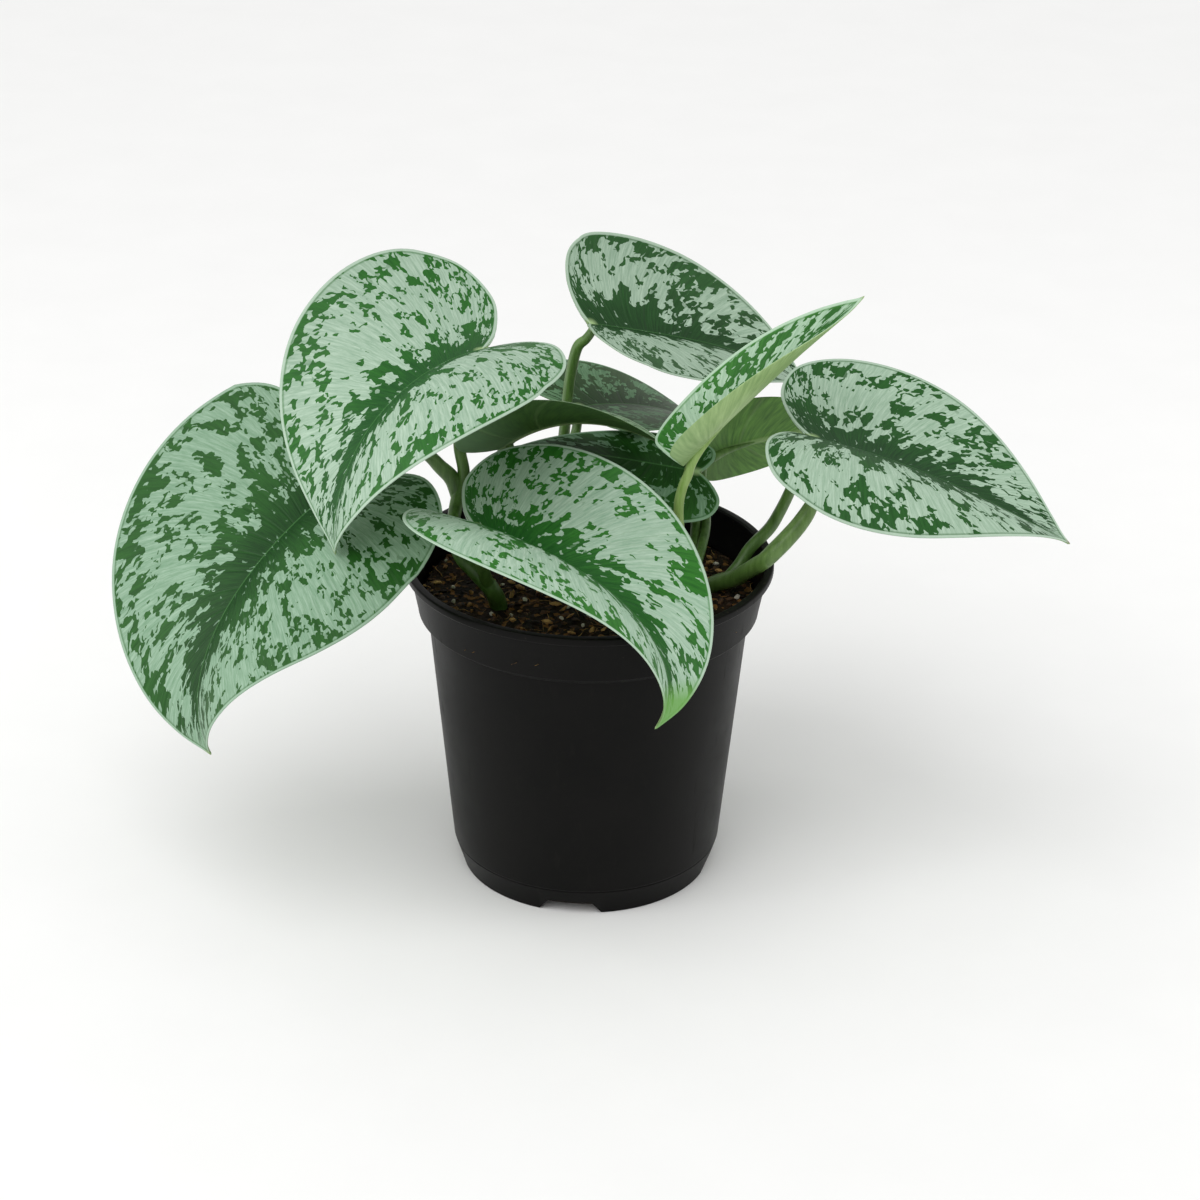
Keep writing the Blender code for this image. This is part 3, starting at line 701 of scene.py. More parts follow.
def frame_at(frames, leaf, along):
    """The midrib's frame at a length from the petiole, which is below 0 in the lobes."""
    behind = round(LOBE_REACH / SPINE_STEP)
    ahead = len(frames) - 1 - behind
    index = behind + along * (behind / LOBE_REACH if along < 0 else ahead / leaf.length)
    index = min(max(index, 0.0), len(frames) - 1.001)
    first = int(index)
    return tuple(a.lerp(b, index - first) for a, b in zip(frames[first], frames[first + 1]))


def blade_point(leaf, frames, side, out, along):
    """A flat point bent and folded to its place on the blade's middle surface."""
    centre, ahead, up = frame_at(frames, leaf, along)
    ahead.normalize()
    up.normalize()
    outward = ahead.cross(up) * (1 if side == RIGHT else -1)
    fold = radians(leaf.folds[side])
    turn = radians(leaf.curls[side]) / leaf.widths[side]
    if abs(turn) < 1e-6:
        turn = 1e-6
    flat = (sin(fold + turn * out) - sin(fold)) / turn
    lift = (cos(fold) - cos(fold + turn * out)) / turn
    return centre + outward * flat + up * lift


def column_places():
    """Places across a half, from the midrib at 0 to the margin at 1, crowded at both."""
    even = np.linspace(0, 1, COLUMNS + 1)
    return even - COLUMN_CROWDING * np.sin(2 * pi * even) / (2 * pi)


def blade_grid(leaf):
    """The middle surface as a grid of rows by columns: its points, normals, vein places and reaches."""
    frames = midrib(leaf)
    across = column_places()
    points = np.zeros((ROWS + 1, 2 * COLUMNS + 1, 3))
    veins = np.zeros_like(points)
    reaches = np.zeros_like(points)
    for side in (LEFT, RIGHT):
        outward = 1 if side == RIGHT else -1
        margin = np.array([heart_margin(leaf, side, place) for place in np.linspace(0, 1, 4 * ROWS)])
        around = np.linalg.norm(np.diff(margin, axis=0), axis=1).sum()
        for row in range(ROWS + 1):
            place = row / ROWS
            flat = np.array([heart_point(leaf, side, place, part) for part in across])
            along_vein = np.concatenate([[0], np.linalg.norm(np.diff(flat, axis=0), axis=1).cumsum()])
            rim = np.linalg.norm(flat[:, None] - margin[None], axis=2).min(axis=1)
            columns = COLUMNS + np.arange(COLUMNS + 1) * outward
            points[row, columns] = [blade_point(leaf, frames, side, out, along) for out, along in flat]
            veins[row, columns, 0] = place * around
            veins[row, columns, 1] = along_vein * outward
            veins[row, columns, 2] = leaf.length * place**VEIN_POWER
            reaches[row, columns] = np.stack([flat[:, 0], rim, flat[:, 1] / leaf.length], axis=1)
    reaches[:, [0, -1], 1] = 0
    reaches[[0, -1], :, 1] = 0
    normals = np.cross(np.gradient(points, axis=1), np.gradient(points, axis=0))
    normals[0] = normals[1].mean(axis=0)
    normals[-1] = normals[-2].mean(axis=0)
    normals /= np.linalg.norm(normals, axis=2, keepdims=True)
    upward = np.array(frame_at(frames, leaf, leaf.length / 3)[2])
    middle = normals[ROWS // 2, COLUMNS]
    return points, normals * np.sign(middle @ upward), veins, reaches


def blade_mesh(leaf):
    """The blade as a closed solid: an upper and a lower sheet that meet in a rounded rim."""
    points, normals, veins, reaches = blade_grid(leaf)
    out, rim, share = reaches[..., 0], reaches[..., 1], reaches[..., 2]
    half = MARGIN_HALF + (MIDRIB_HALF - MARGIN_HALF) * np.exp(-out / MIDRIB_FADE)
    round_off = np.sqrt(np.clip(1 - (1 - np.clip(rim / RIM_ROUND, 0, 1)) ** 2, 0, 1))
    ridge = RIDGE * np.exp(-((out / RIDGE_WIDTH) ** 2)) * np.clip(1.1 - share, 0, 1)
    upper = points + normals * (half * round_off)[..., None]
    lower = points - normals * ((half + ridge) * round_off)[..., None]
    rows, columns = out.shape
    corner = (np.arange(rows - 1)[:, None] * columns + np.arange(columns - 1)).ravel()
    face = np.stack([corner, corner + 1, corner + columns + 1, corner + columns], axis=1)
    first = points[rows // 2, columns // 2 + 1] - points[rows // 2, columns // 2]
    second = points[rows // 2 + 1, columns // 2] - points[rows // 2, columns // 2]
    if np.cross(first, second) @ normals[rows // 2, columns // 2] < 0:
        face = face[:, ::-1]
    faces = np.concatenate([face, face[:, ::-1] + rows * columns])
    mesh = bpy.data.meshes.new(leaf.name)
    mesh.from_pydata(np.concatenate([upper.reshape(-1, 3), lower.reshape(-1, 3)]) * MM, [], faces.tolist())
    for name, values in (("vein", veins), ("reach", reaches)):
        values = np.concatenate([values.reshape(-1, 3)] * 2).astype(np.float32)
        mesh.attributes.new(name, "FLOAT_VECTOR", "POINT").data.foreach_set("vector", values.ravel())
    mesh.polygons.foreach_set("material_index", np.repeat([0, 1], len(face)))
    shape = bmesh.new()
    shape.from_mesh(mesh)
    bmesh.ops.remove_doubles(shape, verts=shape.verts, dist=WELD * MM)
    shape.to_mesh(mesh)
    shape.free()
    mesh.shade_smooth()
    return mesh


def blade_places(tree):
    """The places that the mesh holds, in mm: along the margin, out along a side vein, where that vein leaves
    the midrib, straight out from the midrib and in from the rim. The last is a part of the blade's length."""
    places = []
    for name in ("vein", "reach"):
        vector = add_node(tree, "ShaderNodeAttribute", attribute_name=name).outputs["Vector"]
        places += add_node(tree, "ShaderNodeSeparateXYZ", {0: vector}).outputs
    return dict(zip(("margin", "vein", "rib", "out", "rim", "share"), places))


def blade_maps(tree, at, seed):
    """Maps of the blade in mm: a straight one, then two that wander, of which one is true to size near the
    margin and the other near the midrib, and last how far they wander."""
    straight = add_node(tree, "ShaderNodeCombineXYZ", {0: at["margin"], 1: at["vein"], 2: seed})
    ribbed = add_node(tree, "ShaderNodeCombineXYZ", {0: at["rib"], 1: at["vein"], 2: seed + RIB_SEED})
    wander = add_node(tree, "ShaderNodeTexNoise", {"Vector": straight, "Scale": 0.4, "Detail": 1.5})
    wander = add_node(tree, "ShaderNodeVectorMath", {
        0: wander.outputs["Color"], 1: (0.5, 0.5, 0.5)}, operation="SUBTRACT")
    outer, inner = (
        add_node(tree, "ShaderNodeVectorMath", {0: wander, 1: sway, 2: place}, operation="MULTIPLY_ADD")
        for sway, place in ((MARGIN_SWAY, straight), (RIB_SWAY, ribbed))
    )
    return straight, outer, inner, add_node(tree, "ShaderNodeSeparateXYZ", {0: wander})


def bare_patches(tree, look, at, outer):
    """Green patches fill whole fields between the side veinlets, whose finer areoles leave them ragged.
    The second result is where an areole keeps its silver."""
    areole = drawn_out(tree, "ShaderNodeTexVoronoi", outer, (*AREOLES_PER_MM, 1.0))
    fields_per_areole = [
        stretch / look.patch / areoles for stretch, areoles in zip((1.0, PATCH_STRETCH), AREOLES_PER_MM)
    ]
    field = add_node(tree, "ShaderNodeVectorMath", {
        0: areole.outputs["Position"], 1: (*fields_per_areole, 1.0)}, operation="MULTIPLY")
    chance = add_node(tree, "ShaderNodeTexVoronoi", {"Vector": field, "Scale": 1.0})
    chance = add_node(tree, "ShaderNodeSeparateColor", {0: chance.outputs["Color"]})
    drift = add_node(tree, "ShaderNodeTexNoise", {"Vector": field, "Scale": 0.45, "Detail": 1.0})
    drift = add_node(tree, "ShaderNodeMapRange", {
        "Value": drift, "From Min": 0.35, "From Max": 0.65, "To Min": -0.1, "To Max": 0.1})
    left, right, inside = look.cover
    edge = add_node(tree, "ShaderNodeMapRange", {
        "Value": at["vein"], "From Min": -1.0, "From Max": 1.0, "To Min": left, "To Max": right})
    zone = add_node(tree, "ShaderNodeMapRange", {
        "Value": at["rim"], "From Min": 0.2 * look.margin_zone, "From Max": look.margin_zone})
    cover = add_node(tree, "ShaderNodeMix", {0: zone, 2: edge, 3: inside})
    cover = add_node(tree, "ShaderNodeMath", {0: cover, 1: drift}, operation="ADD")
    patches = add_node(tree, "ShaderNodeMath", {0: cover, 1: chance}, operation="GREATER_THAN")
    fleck = add_node(tree, "ShaderNodeSeparateColor", {0: areole.outputs["Color"]})
    fleck = add_node(tree, "ShaderNodeMapRange", {
        "Value": fleck, "From Min": 0.97, "From Max": 0.98, "To Min": 1.0, "To Max": 0.3})
    return patches, fleck


def midrib_band(tree, look, at, inner, waver):
    """The green band along the midrib, which feathers out along the side veins and narrows to the tip."""
    sliver = drawn_out(tree, "ShaderNodeTexVoronoi", inner, (*SLIVERS_PER_MM, 1.0))
    chance = add_node(tree, "ShaderNodeSeparateColor", {0: sliver.outputs["Color"]})
    spike = add_node(tree, "ShaderNodeMapRange", {
        "Value": chance, "From Min": 0.2, "From Max": 1.0, "To Min": 0.0, "To Max": look.spike})
    push = add_node(tree, "ShaderNodeMath", {0: spike, 1: look.band}, operation="ADD")
    taper = add_node(tree, "ShaderNodeMapRange", {"Value": at["share"], "From Min": 0.1, "From Max": 0.92})
    taper = add_node(tree, "ShaderNodeMath", {0: taper, 1: BAND_TAPER_POWER}, operation="POWER")
    taper = add_node(tree, "ShaderNodeMath", {0: 1.0, 1: taper}, operation="SUBTRACT")
    push = add_node(tree, "ShaderNodeMath", {0: push, 1: taper}, operation="MULTIPLY")
    middle = add_node(tree, "ShaderNodeSeparateXYZ", {0: sliver.outputs["Position"]})
    middle = add_node(tree, "ShaderNodeMath", {
        0: middle.outputs["Y"], 1: 1 / SLIVERS_PER_MM[1]}, operation="MULTIPLY")
    middle = add_node(tree, "ShaderNodeMath", {0: middle}, operation="ABSOLUTE")
    middle = add_node(tree, "ShaderNodeMix", {0: 0.6, 2: at["out"], 3: middle})
    slivers = add_node(tree, "ShaderNodeMath", {0: push, 1: middle}, operation="GREATER_THAN")
    core = add_node(tree, "ShaderNodeMath", {0: taper, 1: look.band}, operation="MULTIPLY")
    core = add_node(tree, "ShaderNodeMath", {0: waver, 1: 5.0, 2: core}, operation="MULTIPLY_ADD")
    core = add_node(tree, "ShaderNodeMath", {0: core, 1: at["out"]}, operation="GREATER_THAN")
    return add_node(tree, "ShaderNodeMath", {0: core, 1: slivers}, operation="MAXIMUM")


def tissue_tones(tree, look, at, straight, waver):
    """Fine streaks along the side veins, then the silver tissue, which they and the veinlets mark, and the
    bare green, which grows lighter out from the midrib."""
    streak = drawn_out(tree, "ShaderNodeTexNoise", straight, (*STREAKS_PER_MM, 1.0),
                       Detail=5.0, Roughness=0.75)
    tone = add_node(tree, "ShaderNodeMapRange", {"Value": streak, "From Min": 0.34, "From Max": 0.66})
    silver = add_node(tree, "ShaderNodeMix", {
        0: tone, 6: look.silver[0], 7: look.silver[1]}, data_type="RGBA")
    veinlet = add_node(tree, "ShaderNodeMath", {0: waver, 1: 1.2, 2: at["margin"]}, operation="MULTIPLY_ADD")
    veinlet = add_node(tree, "ShaderNodeMath", {0: veinlet, 1: VEINLET_STEP / 2}, operation="PINGPONG")
    veinlet = add_node(tree, "ShaderNodeMapRange", {
        "Value": veinlet, "From Min": 0.0, "From Max": 0.25, "To Min": 0.32, "To Max": 0.0})
    veinlet = add_node(tree, "ShaderNodeMath", {0: veinlet, 1: tone}, operation="MULTIPLY")
    silver = add_node(tree, "ShaderNodeMix", {0: veinlet, 6: silver, 7: look.green[1]}, data_type="RGBA")
    far_out = add_node(tree, "ShaderNodeMapRange", {
        "Value": at["out"], "From Min": 2.0, "From Max": 18.0, "To Min": -0.35, "To Max": 0.25})
    bright = add_node(tree, "ShaderNodeMapRange", {"Value": streak, "From Min": 0.3, "From Max": 0.7})
    bright = add_node(tree, "ShaderNodeMath", {0: bright, 1: far_out}, operation="ADD", use_clamp=True)
    green = add_node(tree, "ShaderNodeMix", {0: bright, 6: look.green[0], 7: look.green[1]}, data_type="RGBA")
    return streak, silver, green


def rims_and_joint(tree, leaf, look, at, tint):
    """Lighter green in the midrib's crease, a darker line just inside the thin pale rim, the tip's own
    colour, and a pale spot where the petiole joins."""
    from_joint = add_node(tree, "ShaderNodeAttribute", attribute_name="reach").outputs["Vector"]
    from_joint = add_node(tree, "ShaderNodeVectorMath", {
        0: from_joint, 1: (1.0, 0.0, leaf.length)}, operation="MULTIPLY")
    from_joint = add_node(tree, "ShaderNodeVectorMath", {0: from_joint, 1: (0.0, 0.0, JOINT_ALONG)},
                          operation="DISTANCE").outputs["Value"]
    return tint_over(tree, tint, [
        (at["out"], 0.1, 0.45, 0.35, 0.0, "#5E9A55"),
        (at["rim"], 1.05, 1.5, 0.6, 0.0, look.green[1]),
        (at["rim"], 0.7, 0.95, 0.9, 0.0, look.silver[1]),
        (at["share"], look.tip[0], look.tip[1], 0.0, 0.85, look.tip[2]),
        (from_joint, 0.5, 2.4, 0.85, 0.0, "#A8C48A"),
    ])


def satin_upper(leaf, look, number):
    """The upper side: dull silver with a satin sheen, crossed by bare green patches, which are glossier.
    Side veins lie in shallow grooves, and the tissue between them is puffed."""
    finish, tree, shader = new_finish("satin_upper_" + leaf.name, specular_IOR_level=0.2)
    at = blade_places(tree)
    straight, outer, inner, waver = blade_maps(tree, at, LEAF_SEED_STEP * number)
    patches, fleck = bare_patches(tree, look, at, outer)
    band = midrib_band(tree, look, at, inner, waver)
    bare = add_node(tree, "ShaderNodeMath", {0: patches, 1: band}, operation="MAXIMUM")
    near_tip = add_node(tree, "ShaderNodeMapRange", {
        "Value": at["share"], "From Min": 0.9, "From Max": 0.97, "To Min": 1.0, "To Max": 0.2})
    for kept in (fleck, near_tip):
        bare = add_node(tree, "ShaderNodeMath", {0: bare, 1: kept}, operation="MULTIPLY")
    streak, silver, green = tissue_tones(tree, look, at, straight, waver)
    tint = add_node(tree, "ShaderNodeMix", {0: bare, 6: silver, 7: green}, data_type="RGBA")
    tint = rims_and_joint(tree, leaf, look, at, tint)
    dull = add_node(tree, "ShaderNodeMapRange", {"Value": bare, "To Min": 0.55, "To Max": 0.45})
    groove = add_node(tree, "ShaderNodeMath", {0: at["margin"], 1: SIDE_VEIN_STEP / 2}, operation="PINGPONG")
    groove = add_node(tree, "ShaderNodeMapRange", {
        "Value": groove, "From Min": 0.0, "From Max": 1.0}, interpolation_type="SMOOTHSTEP")
    relief = add_node(tree, "ShaderNodeMath", {0: streak, 1: 0.35, 2: groove}, operation="MULTIPLY_ADD")
    relief = add_node(tree, "ShaderNodeBump", {"Height": relief, "Strength": 0.3, "Distance": 0.0003})
    fill_inputs(tree, shader, {"Base Color": tint, "Roughness": dull, "Normal": relief})
    return finish


def satin_lower(leaf, look):
    """The underside: plain matte green without silver, paler along its raised veins and under the lobes."""
    finish, tree, shader = new_finish("matte_underside_" + leaf.name, roughness=0.55)
    at = blade_places(tree)
    place = add_node(tree, "ShaderNodeAttribute", attribute_name="vein").outputs["Vector"]
    tone = drawn_out(tree, "ShaderNodeTexNoise", place, (0.9, 0.15, 1.0), Detail=4.0, Roughness=0.6)
    tint = tint_over(tree, look.underside[0], [
        (tone, 0.3, 0.7, 0.0, 1.0, look.underside[1]),
        (at["share"], -0.08, 0.22, 0.6, 0.0, look.lobe_underside),
    ])
    # Only every second side vein stands out beneath.
    ridge = add_node(tree, "ShaderNodeMath", {0: at["margin"], 1: SIDE_VEIN_STEP}, operation="PINGPONG")
    ridge = add_node(tree, "ShaderNodeMapRange", {"Value": ridge, "From Min": 0.0, "From Max": 0.9,
                                                  "To Min": 1.0, "To Max": 0.0},
                     interpolation_type="SMOOTHSTEP")
    middle = add_node(tree, "ShaderNodeMapRange", {
        "Value": at["out"], "From Min": 0.5, "From Max": 1.1, "To Min": 1.0, "To Max": 0.0})
    faint = add_node(tree, "ShaderNodeMath", {0: ridge, 1: 0.1}, operation="MULTIPLY")
    clear = add_node(tree, "ShaderNodeMath", {0: middle, 1: 0.4}, operation="MULTIPLY")
    veins = add_node(tree, "ShaderNodeMath", {0: faint, 1: clear}, operation="MAXIMUM")
    tint = add_node(tree, "ShaderNodeMix", {0: veins, 6: tint, 7: "#A5BC84"}, data_type="RGBA")
    raised = add_node(tree, "ShaderNodeMath", {0: ridge, 1: middle}, operation="MAXIMUM")
    relief = add_node(tree, "ShaderNodeBump", {"Height": raised, "Strength": 0.3, "Distance": 0.0003})
    fill_inputs(tree, shader, {"Base Color": tint, "Normal": relief})
    return finish


for number, leaf in enumerate(LEAVES):
    look = MARKINGS_AND_PAINTED_SHADE[leaf.name]
    blade = blade_mesh(leaf)
    finishes = [satin_upper(leaf, look, number), satin_lower(leaf, look)]
    finish_piece("blade_" + leaf.name, blade, finishes, [leaf.name])

# Stems and petioles: fleshy living shoots, rooted in the mix. Each petiole is channelled above, leaves the
# stem from a node, and ends in the midrib of its blade.
SEAT_ALONG = 2.2
SEAT_STEP = 3.5
STEEP_LEAN = 45
RUN_ALONG = (SEAT_ALONG + 5, SEAT_ALONG + 13)  # where a petiole from behind runs out under the midrib
RUN_DEPTHS = (1.0, 0.45)
RUN_RADII = (0.95, 0.35)
BLADE = 0.7
ROUTE_SPANS = 8
STEM_SIDES = 20
BELL_BASE = 0.37


@dataclass
class Stem:
    """A stem or petiole along its route of (x, y, z, radius), with the blade that it carries."""

    route: list
    blade: str = ""
    lean: float = 0.0  # 0 where it meets the blade from straight beneath, 90 from behind
    tip_radius: float = 1.4
    youth: float = 0.1  # 0 on an old stem and 1 on pale new growth


VINES = {
    "vine_left": [
        Stem([(-24, -8, 72, 2.7), (-25.2, -10.2, 85, 2.7), (-27, -14, 92, 2.6), (-31.8, -13, 97, 2.3),
              (-36, -11, 101, 2.1), (-38, -6, 106, 2.0), (-37.5, 0, 111, 2.0), (-36, 3, 117, 2.0),
              (-35.4, 3, 121, 1.8), (-36.6, 2, 130, 1.7), (-35.5, -1, 143.5, 1.6), (-31.9, -7, 153.6, 1.5)],
             "leaf_top_left", 20),
        Stem([(-37, 2, 112, 1.8), (-38.5, 3, 118, 2.4), (-42, 3, 122, 2.2), (-46, 3, 126, 1.9),
              (-54, 3, 130, 1.7), (-62, 1, 129, 1.6)],
             "leaf_big_left", 60),
        Stem([(-28, -14, 93, 2.0), (-29.5, -18, 100, 1.8), (-30.6, -26, 108.5, 1.6)],
             "leaf_front", 20),
    ],
    "vine_middle": [
        Stem([(-11, 17, 72, 2.4), (-11, 18, 85, 2.4), (-10, 26, 97, 2.2), (-8.8, 33, 108, 1.9),
              (-7.6, 35, 118, 1.7), (-6.8, 36, 128, 1.6), (-5.8, 35.5, 137, 1.6), (-4, 35, 145.3, 1.6)],
             "leaf_back_top", 20),
        Stem([(-11, 18.5, 88, 1.8), (-15, 13, 96, 1.7), (-21, 8.5, 106, 1.5), (-24, 6.5, 117, 1.5)],
             "leaf_centre_folded", 20),
        Stem([(-10, 29, 101, 1.8), (-7.5, 39, 107, 1.6), (-4.5, 44.5, 114, 1.5)],
             "leaf_back_shaded", 20),
    ],
    "vine_young": [
        Stem([(27, -8, 72, 2.2), (27.2, -8.5, 85, 2.2), (27, -9.5, 97, 2.0), (25.2, -10.3, 108, 1.6),
              (24.8, -11, 117, 1.45), (25.7, -11.3, 122.5, 1.4)],
             "leaf_young_curled", 60, youth=0.95),
        Stem([(27.4, -8.8, 89.5, 1.8), (29.5, 2, 96, 1.6), (30.5, 11, 103, 1.5)],
             "leaf_low_inner", 20),
        Stem([(27.4, -8.8, 88.8, 1.8), (30.5, -2, 95, 1.6), (33.2, 10, 101.5, 1.5), (32.4, 23, 106, 1.4)],
             "leaf_right_inner", 75),
    ],
    "vine_right": [
        Stem([(33, 4, 72, 2.6), (34.3, 2.5, 85, 2.7), (41.4, -3, 91.1, 2.7), (46.2, -8, 96.9, 2.6),
              (50.6, -11, 102, 2.6), (57.4, -9, 109, 2.5), (61.3, -7, 114.3, 2.2), (62.9, -7, 120, 1.4),
              (63.3, -7.5, 124, 0.7)], youth=0.25),
        Stem([(38.5, -0.5, 88.6, 1.9), (42.5, 3, 92.2, 1.9), (45.8, 5, 96.8, 1.9), (51, 5.5, 102.6, 1.9),
              (53.7, 4.5, 108.2, 1.8), (56.3, 3, 115.3, 1.7), (59, 1.5, 124, 1.5)],
             "leaf_right", 20),
    ],
}


def seat_points(leaf, lean, radius):
    """The petiole's last points: it runs up to the blade's underside and into the midrib."""
    frames = midrib(leaf)
    place, along, up = frame_at(frames, leaf, SEAT_ALONG)
    keel = BLADE / 2 / cos(radians(max(leaf.folds)))
    depth = keel + GAP + radius * sin(radians(lean))
    end = place - up * depth
    direction = up * cos(radians(lean)) + along * sin(radians(lean))
    if lean < STEEP_LEAN:
        return [end - direction * SEAT_STEP, end + direction * GAP * 2], [radius, radius * 0.9]
    points = [end - direction * SEAT_STEP, end]
    for along_midrib, depth in zip(RUN_ALONG, RUN_DEPTHS):
        place, _, up = frame_at(frames, leaf, along_midrib)
        points.append(place - up * depth)
    return points, [radius, radius, *RUN_RADII]


def grown_tube(name):
    """A round stem along a chain of edges, channelled on its upper side, with both ends closed."""
    tree, given = new_group(name, {
        "Route": "Geometry", "Sides": "Int", "Channel": "Float", "Channel Width": "Float",
        "Finish": "Material",
    })
    route = add_node(tree, "GeometryNodeMeshToCurve", {"Mesh": given["Route"]})
    facing = add_node(tree, "GeometryNodeInputNamedAttribute", {"Name": "facing"}, data_type="FLOAT_VECTOR")
    route = add_node(tree, "GeometryNodeSetCurveNormal", {"Curve": route, "Normal": facing}, mode="FREE")
    ring = add_node(tree, "GeometryNodeCurvePrimitiveCircle", {"Resolution": given["Sides"], "Radius": 1.0})
    place = add_node(tree, "GeometryNodeInputPosition")
    spot = add_node(tree, "ShaderNodeSeparateXYZ", {0: place})
    around = add_node(tree, "ShaderNodeMath", {
        0: spot.outputs["Y"], 1: spot.outputs["X"]}, operation="ARCTAN2")
    ring = add_node(tree, "GeometryNodeStoreNamedAttribute", {
        "Geometry": ring, "Name": "around", "Value": around}, data_type="FLOAT", domain="POINT")
    off_middle = add_node(tree, "ShaderNodeMath", {0: around, 1: given["Channel Width"]}, operation="DIVIDE")
    bell = add_node(tree, "ShaderNodeMath", {0: off_middle, 1: off_middle}, operation="MULTIPLY")
    bell = add_node(tree, "ShaderNodeMath", {0: BELL_BASE, 1: bell}, operation="POWER")
    inset = add_node(tree, "ShaderNodeMath", {0: bell, 1: given["Channel"]}, operation="MULTIPLY")
    inset = add_node(tree, "ShaderNodeMath", {0: 1.0, 1: inset}, operation="SUBTRACT")
    pressed = add_node(tree, "ShaderNodeVectorMath", {0: place, "Scale": inset}, operation="SCALE")
    ring = add_node(tree, "GeometryNodeSetPosition", {"Geometry": ring, "Position": pressed})
    radius = add_node(tree, "GeometryNodeInputNamedAttribute", {"Name": "stem_radius"}, data_type="FLOAT")
    tube = add_node(tree, "GeometryNodeCurveToMesh", {
        "Curve": route, "Profile Curve": ring, "Scale": radius, "Fill Caps": True})
    return close_group(tree, tube, given["Finish"])


def living_stem():
    """Green living stem skin: smooth and moist, softly streaked along its length, with pale lenticel dots.
    It is darkest near the soil, and new growth is a pale yellow green."""
    finish, tree, shader = new_finish("living_stem_skin", roughness=0.42)
    place = add_node(tree, "ShaderNodeTexCoord").outputs["Object"]
    tone = drawn_out(tree, "ShaderNodeTexNoise", place, (700, 700, 70), Detail=4.0, Roughness=0.6)
    tone = add_node(tree, "ShaderNodeMapRange", {"Value": tone, "From Min": 0.3, "From Max": 0.7})
    old = add_node(tree, "ShaderNodeMix", {0: tone, 6: "#31541B", 7: "#547B35"}, data_type="RGBA")
    young = add_node(tree, "ShaderNodeMix", {0: tone, 6: "#7DA04B", 7: "#A3C173"}, data_type="RGBA")
    youth = add_node(tree, "ShaderNodeAttribute", attribute_name="youth").outputs["Fac"]
    tint = add_node(tree, "ShaderNodeMix", {0: youth, 6: old, 7: young}, data_type="RGBA")
    height = add_node(tree, "ShaderNodeSeparateXYZ", {0: place}).outputs["Z"]
    dots = add_node(tree, "ShaderNodeTexVoronoi", {"Vector": place, "Scale": 1100.0})
    tint = tint_over(tree, tint, [(height, 0.084, 0.112, 0.55, 0.0, "#27470F"),
                                  (dots, 0.08, 0.16, 0.2, 0.0, "#A9BB80")])
    relief = add_node(tree, "ShaderNodeBump", {"Height": tone, "Strength": 0.25, "Distance": 0.0002})
    fill_inputs(tree, shader, {"Base Color": tint, "Normal": relief})
    return finish


def route_mesh(name, stems, blades):
    """The routes of all stems of a vine as chains of edges, with their radius and the way they face."""
    places, edges, radii, facings, youths = [], [], [], [], []
    for stem in stems:
        points = [Vector(row[:3]) for row in stem.route]
        widths = [row[3] for row in stem.route]
        facing = Vector((0, 0, 1))
        if stem.blade:
            ends, end_widths = seat_points(blades[stem.blade], stem.lean, stem.tip_radius)
            points += ends
            widths += end_widths
            facing = -start_frame(blades[stem.blade])[0]
        widths = [Vector((width, 0)) for width in widths]
        count = (len(points) - 1) * ROUTE_SPANS + 1
        chain = [smooth_between(points, number / (count - 1)) for number in range(count)]
        for number, place in enumerate(chain):
            ahead = chain[min(number + 1, count - 1)] - chain[max(number - 1, 0)]
            side = facing - ahead * facing.dot(ahead) / ahead.length_squared
            if number:
                edges.append((len(places) - 1, len(places)))
            places.append(place * MM)
            radii.append(smooth_between(widths, number / (count - 1)).x * MM)
            facings.append(side.normalized())
            youths.append(stem.youth)
    mesh = bpy.data.meshes.new(name)
    mesh.from_pydata(places, edges, [])
    mesh.attributes.new("stem_radius", "FLOAT", "POINT").data.foreach_set("value", radii)
    mesh.attributes.new("youth", "FLOAT", "POINT").data.foreach_set("value", youths)
    flat = [part for facing in facings for part in facing]
    mesh.attributes.new("facing", "FLOAT_VECTOR", "POINT").data.foreach_set("vector", flat)
    return mesh


blades = {leaf.name: leaf for leaf in LEAVES}
skin = living_stem()
tube_tree = grown_tube("grown_tube")
for name, stems in VINES.items():
    carrier = add_object(name, route_mesh(name, stems, blades))
    modifier = carrier.modifiers.new("grown tube", "NODES")
    modifier.node_group = tube_tree
    set_inputs(modifier, dict(Sides=STEM_SIDES, Channel=0.16, Channel_Width=0.55, Finish=skin))
    mesh = evaluated_mesh(carrier)
    shape = bmesh.new()
    shape.from_mesh(mesh)
    bmesh.ops.recalc_face_normals(shape, faces=shape.faces)
    shape.to_mesh(mesh)
    shape.free()
    mesh.shade_smooth()
    finish_piece("shoot_" + name, mesh, [skin], [name])

# Studio: a plain pale floor, three soft lamps and a white surround. The camera stands where the photograph's
# did, a little above the plant and looking down on it.
FLOOR_REACH = 4.0
CAMERA_PLACE = (0.0, -900.0, 521.7)
CAMERA_YAW = 0.21
CAMERA_DOWN = 26.03
CAMERA_ROLL = 0.69
FOCAL_LENGTH = 105.4
LAMP_TARGET = (0.0, 0.0, 0.1)


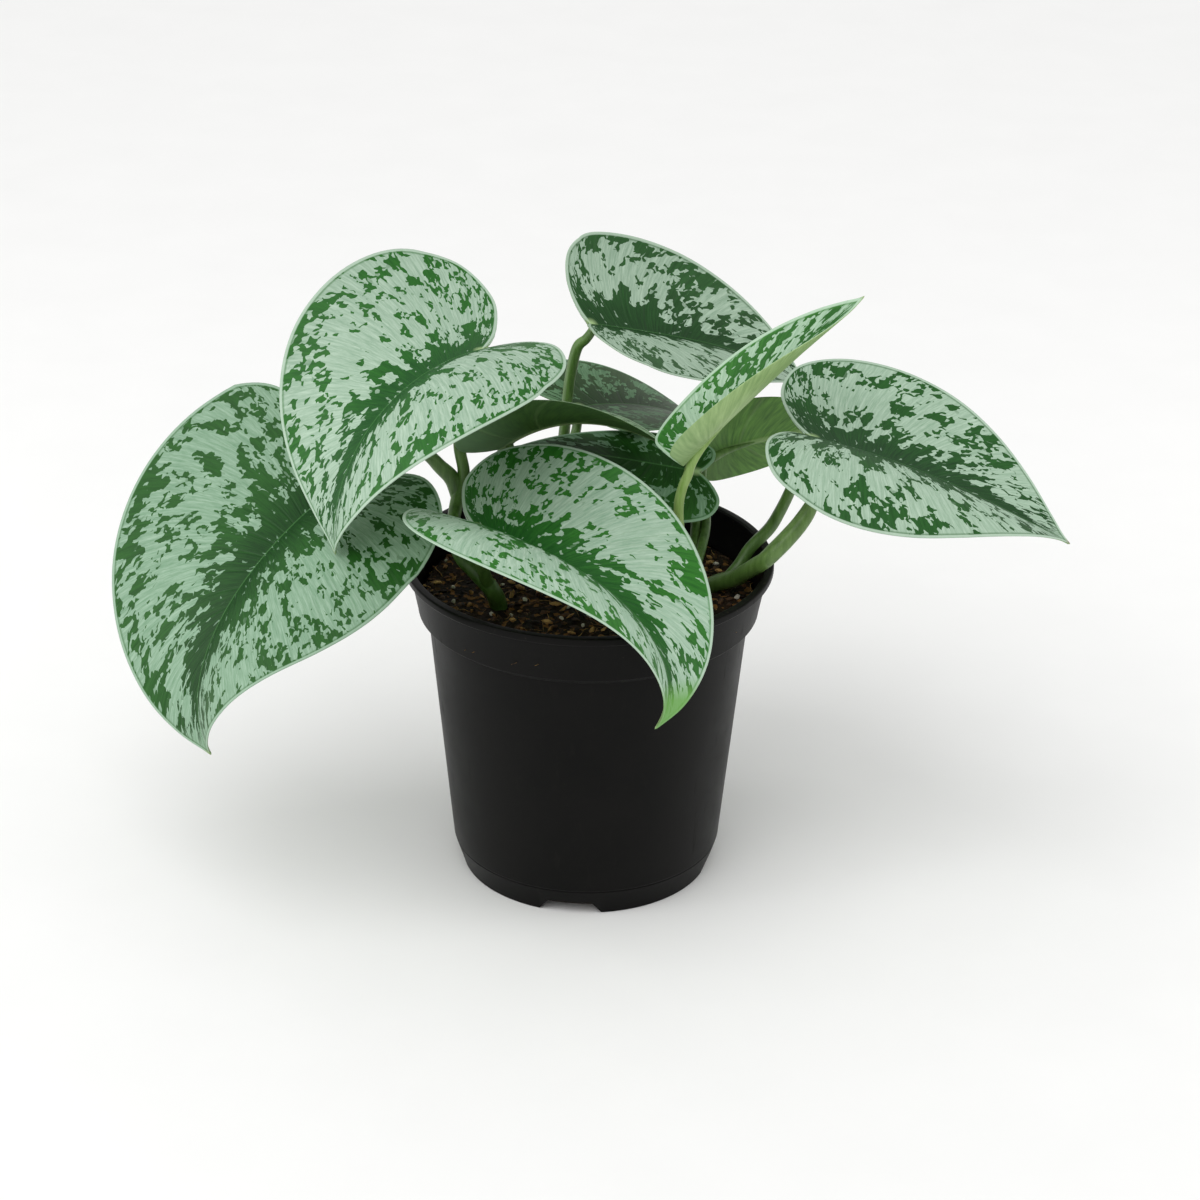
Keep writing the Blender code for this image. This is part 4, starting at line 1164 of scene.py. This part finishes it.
def pale_floor():
    """Smooth matte paint, nearly white, with the faintest mottle of a rolled finish."""
    finish, tree, shader = new_finish("matte_floor_paint", roughness=0.85, specular_IOR_level=0.2)
    place = add_node(tree, "ShaderNodeTexCoord").outputs["Object"]
    mottle = add_node(tree, "ShaderNodeTexNoise", {"Vector": place, "Scale": 30.0, "Detail": 3.0})
    tint = add_node(tree, "ShaderNodeMix", {0: mottle, 6: "#F2F2F1", 7: "#F6F6F5"}, data_type="RGBA")
    fill_inputs(tree, shader, {"Base Color": tint})
    return finish


def soft_lamp(name, kind, place, size, power):
    """A lamp that points at the plant. The size is a sun's angle in degrees, or a panel's width in metres."""
    lamp = bpy.data.lights.new(name, kind)
    lamp.energy = power
    if kind == "SUN":
        lamp.angle = radians(size)
    else:
        lamp.size = size
    made = add_object(name, lamp)
    made.location = place
    made.rotation_euler = (Vector(LAMP_TARGET) - made.location).to_track_quat("-Z", "Y").to_euler()


shape = bmesh.new()
bmesh.ops.create_grid(shape, x_segments=2, y_segments=2, size=FLOOR_REACH)
floor = add_object("studio_floor", mesh_from(shape, "studio_floor"))
floor.data.materials.append(pale_floor())

scene = bpy.context.scene
world = bpy.data.worlds.new("white_surround")
world.use_nodes = True
world.node_tree.nodes["Background"].inputs["Color"].default_value = linear("#FFFFFF")
world.node_tree.nodes["Background"].inputs["Strength"].default_value = 0.62
scene.world = world
scene.view_settings.view_transform = "Standard"
soft_lamp("key_lamp", "SUN", (-0.3, -0.6, 1.1), 55, 1.35)
soft_lamp("left_panel", "AREA", (-0.7, -0.1, 0.35), 0.5, 1.5)
soft_lamp("right_panel", "AREA", (0.7, 0.0, 0.3), 0.5, 1.0)

yaw, down, roll = radians(CAMERA_YAW), radians(CAMERA_DOWN), radians(CAMERA_ROLL)
forward = Vector((sin(yaw) * cos(down), cos(yaw) * cos(down), -sin(down)))
level = Vector((cos(yaw), -sin(yaw), 0))
above = level.cross(forward)
right = level * cos(roll) + above * sin(roll)
upright = above * cos(roll) - level * sin(roll)
lens = bpy.data.cameras.new("camera")
lens.lens = FOCAL_LENGTH
lens.sensor_width = 36.0
lens.clip_end = 20.0
camera = add_object("camera", lens)
camera_turn = Matrix((right, upright, -forward)).transposed().to_4x4()
camera.matrix_world = Matrix.Translation(Vector(CAMERA_PLACE) * MM) @ camera_turn
scene.camera = camera
